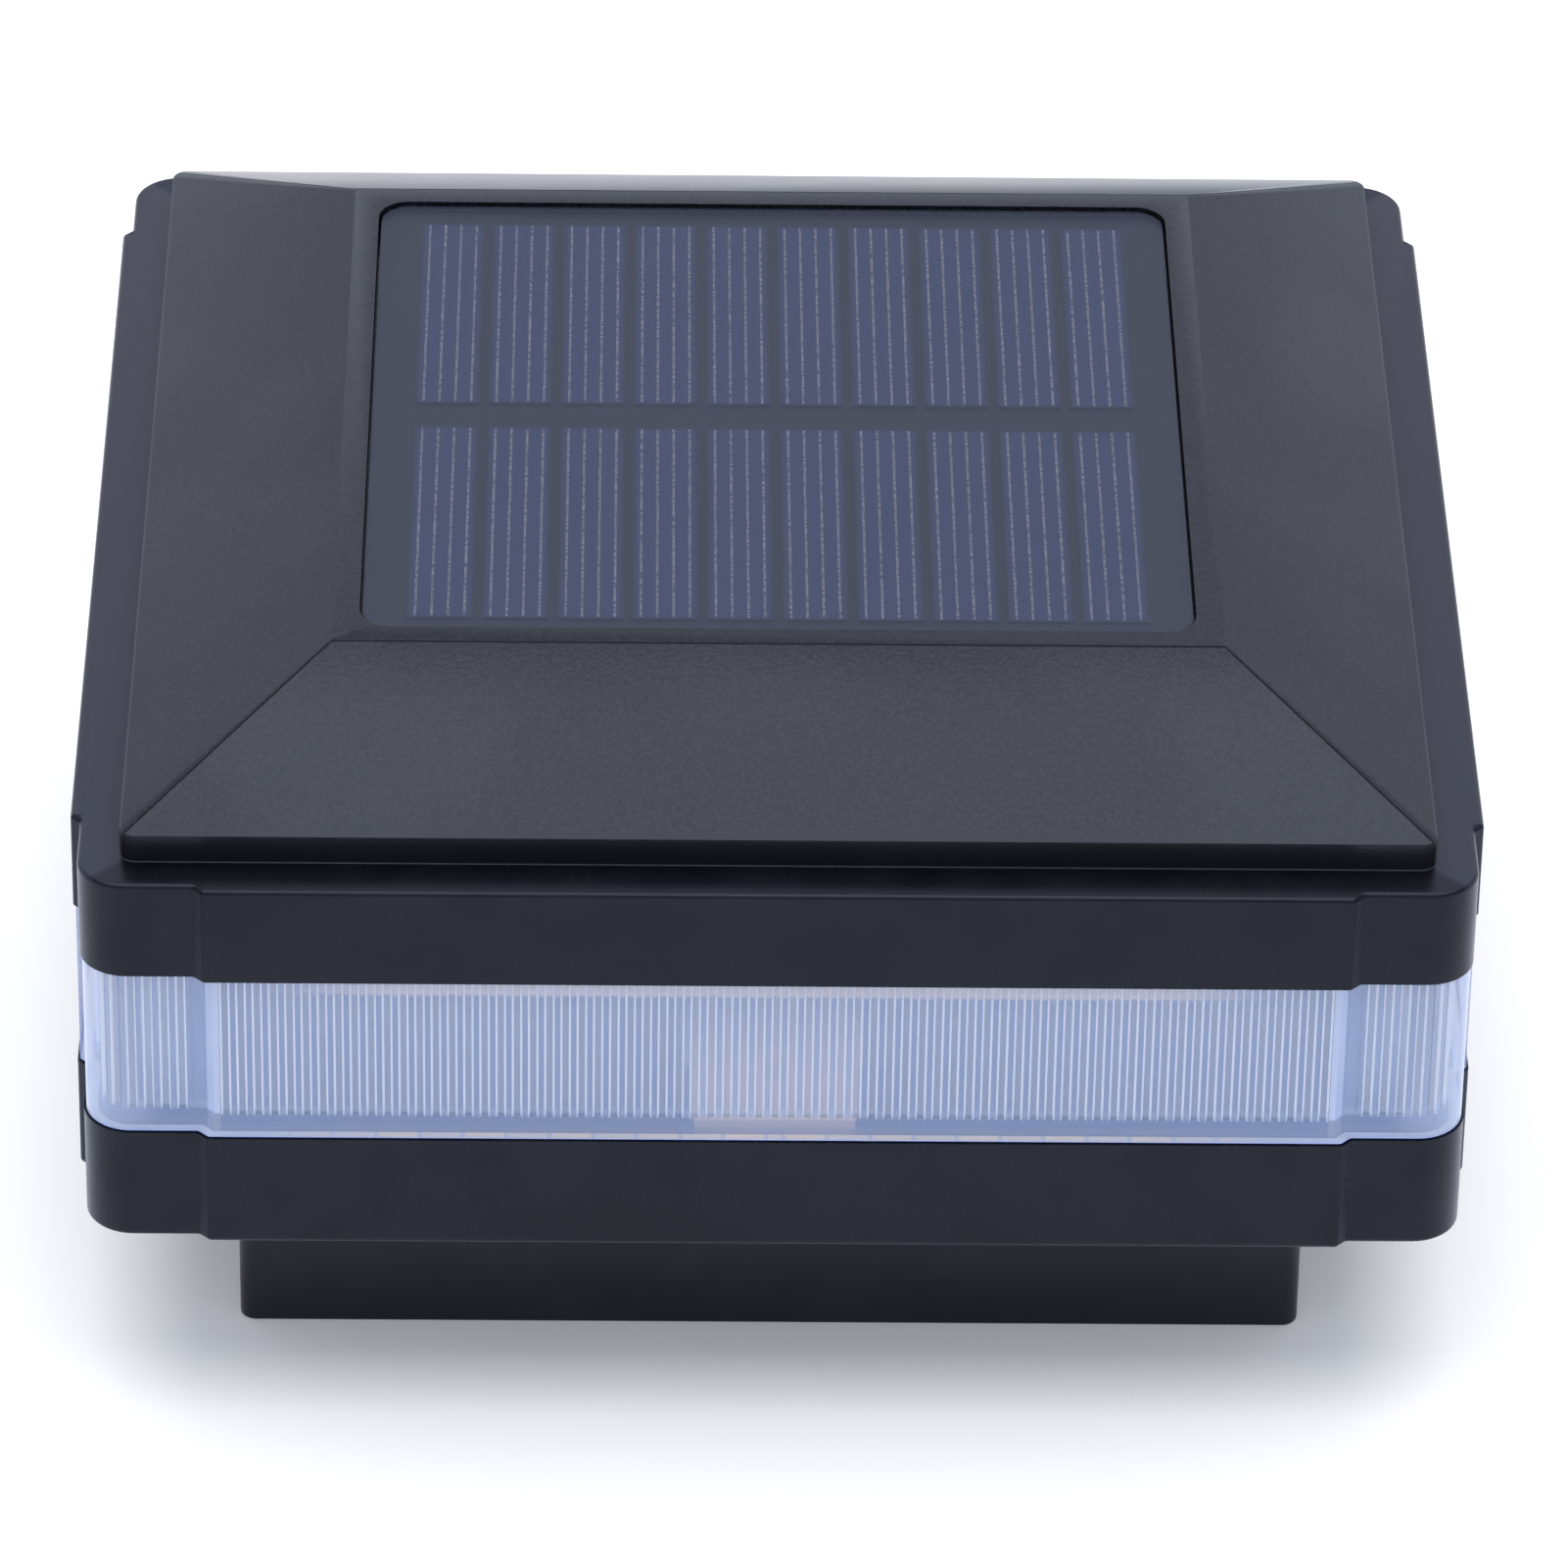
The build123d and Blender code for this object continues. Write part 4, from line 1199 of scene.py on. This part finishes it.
# Plastics and rubbers
roof_plastic = make_finish("roof_plastic", roof_surface)
body_plastic = make_finish("body_plastic", body_surface)
sleeve_plastic = moulded(
    "sleeve_plastic", body_dark, body_light, rough=0.35, grain=0.35 * MM, depth=0.006 * MM,
    **{"Specular IOR Level": 0.41, "Specular Tint": shade(0.78, 0.83, 1.0)},
)
lens_plastic = make_finish("lens_plastic", lens_surface)
# Painted shade: the white reflector is bluish grey, for the dim light that reaches it through the blue lens
reflector_shaded_plastic = moulded(
    "reflector_shaded_plastic", shade(0.5, 0.56, 0.68), shade(0.55, 0.61, 0.73),
    rough=0.5, grain=0.5 * MM, depth=0.01 * MM,
)
seal_rubber = moulded(
    "seal_rubber", shade(0.02, 0.02, 0.022), shade(0.035, 0.035, 0.038),
    rough=0.75, grain=0.3 * MM, depth=0.02 * MM,
)
button_rubber = moulded(
    "button_rubber", shade(0.03, 0.03, 0.033), shade(0.045, 0.045, 0.05),
    rough=0.65, grain=0.25 * MM, depth=0.015 * MM,
)
foam_tape = moulded(
    "foam_tape", shade(0.04, 0.04, 0.04), shade(0.08, 0.08, 0.08),
    rough=0.9, grain=0.4 * MM, depth=0.05 * MM,
)
nylon = moulded(
    "nylon", shade(0.7, 0.66, 0.55), shade(0.78, 0.74, 0.63),
    rough=0.45, grain=0.4 * MM, depth=0.01 * MM,
)
wire_vinyl = make_finish("wire_vinyl", wire_surface)

# Solar panel
cell_silicon = make_finish("cell_silicon", cell_surface)
finger_silver = make_finish("finger_silver", finger_surface)
cover_film = make_finish("cover_film", cover_surface)
panel_board = moulded(
    "panel_board", shade(0.012, 0.013, 0.018), shade(0.018, 0.019, 0.026),
    rough=0.5, grain=0.5 * MM, depth=0.0012 * MM,
)

# Boards, parts on them and the battery
board_white = make_finish("board_white", board_surface)
circuit_mask = make_finish("circuit_mask", circuit_surface)
led_resin = moulded(
    "led_resin", shade(0.95, 0.86, 0.6), shade(0.97, 0.89, 0.66), rough=0.2, grain=0.5 * MM, depth=0.004 * MM,
    **{"Emission Color": shade(1.0, 0.85, 0.5), "Emission Strength": 0.12},
)
chip_resin = moulded(
    "chip_resin", shade(0.012, 0.012, 0.013), shade(0.02, 0.02, 0.022),
    rough=0.55, grain=0.2 * MM, depth=0.008 * MM,
)
ferrite = moulded(
    "ferrite", shade(0.04, 0.04, 0.042), shade(0.07, 0.07, 0.072),
    rough=0.6, grain=0.3 * MM, depth=0.02 * MM,
)
battery_wrap = moulded(
    "battery_wrap", shade(0.02, 0.09, 0.22), shade(0.03, 0.12, 0.27),
    rough=0.3, grain=1.5 * MM, depth=0.02 * MM,
)

# Metals
capacitor_can = moulded(
    "capacitor_can", shade(0.6, 0.6, 0.62), shade(0.7, 0.7, 0.72),
    rough=0.32, grain=0.3 * MM, depth=0.006 * MM, Metallic=1.0,
)
contact_nickel = moulded(
    "contact_nickel", shade(0.62, 0.6, 0.55), shade(0.72, 0.7, 0.64),
    rough=0.28, grain=0.3 * MM, depth=0.006 * MM, Metallic=1.0,
)
screw_zinc = moulded(
    "screw_zinc", shade(0.5, 0.5, 0.5), shade(0.62, 0.62, 0.6),
    rough=0.34, grain=0.25 * MM, depth=0.008 * MM, Metallic=1.0,
)

# Finishes of the pieces that stay as they are in the frame
node_finishes = {
    reflector_shaded_plastic: ["reflector"],
    board_white: ["led_board_front", "led_board_right", "led_board_rear", "led_board_left"],
    led_resin: ["leds"],
    cell_silicon: ["solar_cells"],
    panel_board: ["panel_backing"],
    foam_tape: ["panel_adhesive"],
    seal_rubber: ["collar_gasket", "base_gasket", "battery_door_seal", "button_seal"],
    circuit_mask: ["control_board"],
    chip_resin: ["control_chip", "switch_body"],
    ferrite: ["power_inductor"],
    capacitor_can: ["storage_capacitor"],
    nylon: ["wire_sockets"],
    battery_wrap: ["battery_cell"],
    contact_nickel: ["battery_contact_positive", "battery_contact_negative"],
    wire_vinyl: ["panel_lead", "battery_leads", "led_leads"],
    screw_zinc: ["roof_screws", "board_screws"],
}
for finish, nodes in node_finishes.items():
    for node in nodes:
        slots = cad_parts[node].data.materials
        slots.clear()
        slots.append(finish)

# Mouldings with smooth arcs, and a rounded roof
for node, body, slot, finish, width in (
    ("roof_cover", "housing", "black_plastic", roof_plastic, roof_round),
    ("upper_collar", "housing", "black_plastic", body_plastic, no_round),
    ("base_tray", "housing", "black_plastic", body_plastic, no_round),
    ("post_sleeve", "housing", "black_plastic", sleeve_plastic, no_round),
    ("battery_door", "door", "black_plastic", body_plastic, no_round),
    ("switch_button", "button", "button_plastic", button_rubber, no_round),
):
    dress(softened(node, f"{node}_moulding", finish, width), body, slot, node)

make_lens(lens_plastic)
make_fingers(finger_silver)
make_cover(cover_film)
screws = screw_tree(screw_zinc)
make_screws(
    "battery_door_screws", "door", screws,
    head=5 * MM, neck=2.6 * MM, head_height=1.2 * MM, shank=2.6 * MM, columns=2, rows=1,
)
make_screws(
    "case_screws", "housing", screws,
    head=5.6 * MM, neck=5.2 * MM, head_height=2 * MM, shank=3 * MM, columns=2, rows=2,
)

# Stage: a pale floor that shows only from above
form = bmesh.new()
bmesh.ops.create_grid(form, x_segments=1, y_segments=1, size=floor_half)
floor = add_form("floor", form, floor_finish())

# Soft white room
room = bpy.data.worlds.new("room")
room.use_nodes = True
sky = room.node_tree.nodes["Background"]
sky.inputs["Color"].default_value = shade(0.88, 0.95, 1.14)
sky.inputs["Strength"].default_value = room_strength
bpy.context.scene.world = room
bpy.context.scene.view_settings.view_transform = "Standard"


def aimed(place, target):
    """Turn that makes a lamp or a camera at a place look at a target."""
    return (Vector(target) - Vector(place)).to_track_quat("-Z", "Y")


def softbox(name, place, target, width, height, radiance):
    """Rectangular area light aimed at a point, of the given brightness."""
    lamp = bpy.data.lights.new(name, "AREA")
    lamp.shape = "RECTANGLE"
    lamp.size = width
    lamp.size_y = height
    lamp.energy = math.pi * width * height * radiance
    lamp_object = add_object(name, lamp)
    lamp_object.location = place
    lamp_object.rotation_euler = aimed(place, target).to_euler()


softbox("overhead_softbox", place=(0, 0, 2.2), target=(0, 0, 0), width=2.4, height=2.4, radiance=2.4)
softbox("rear_softbox", place=(0, 1.5, 0.9), target=(0, 0, 0.05), width=2.6, height=1.4, radiance=0.25)

# Camera
camera_data = bpy.data.cameras.new("camera")
camera_data.lens = camera_lens
camera_data.sensor_width = camera_sensor
camera = add_object("camera", camera_data)
camera.location = camera_place
rolled = aimed(camera_place, camera_target) @ Quaternion((0, 0, 1), camera_roll)
camera.rotation_euler = rolled.to_euler()
bpy.context.scene.camera = camera
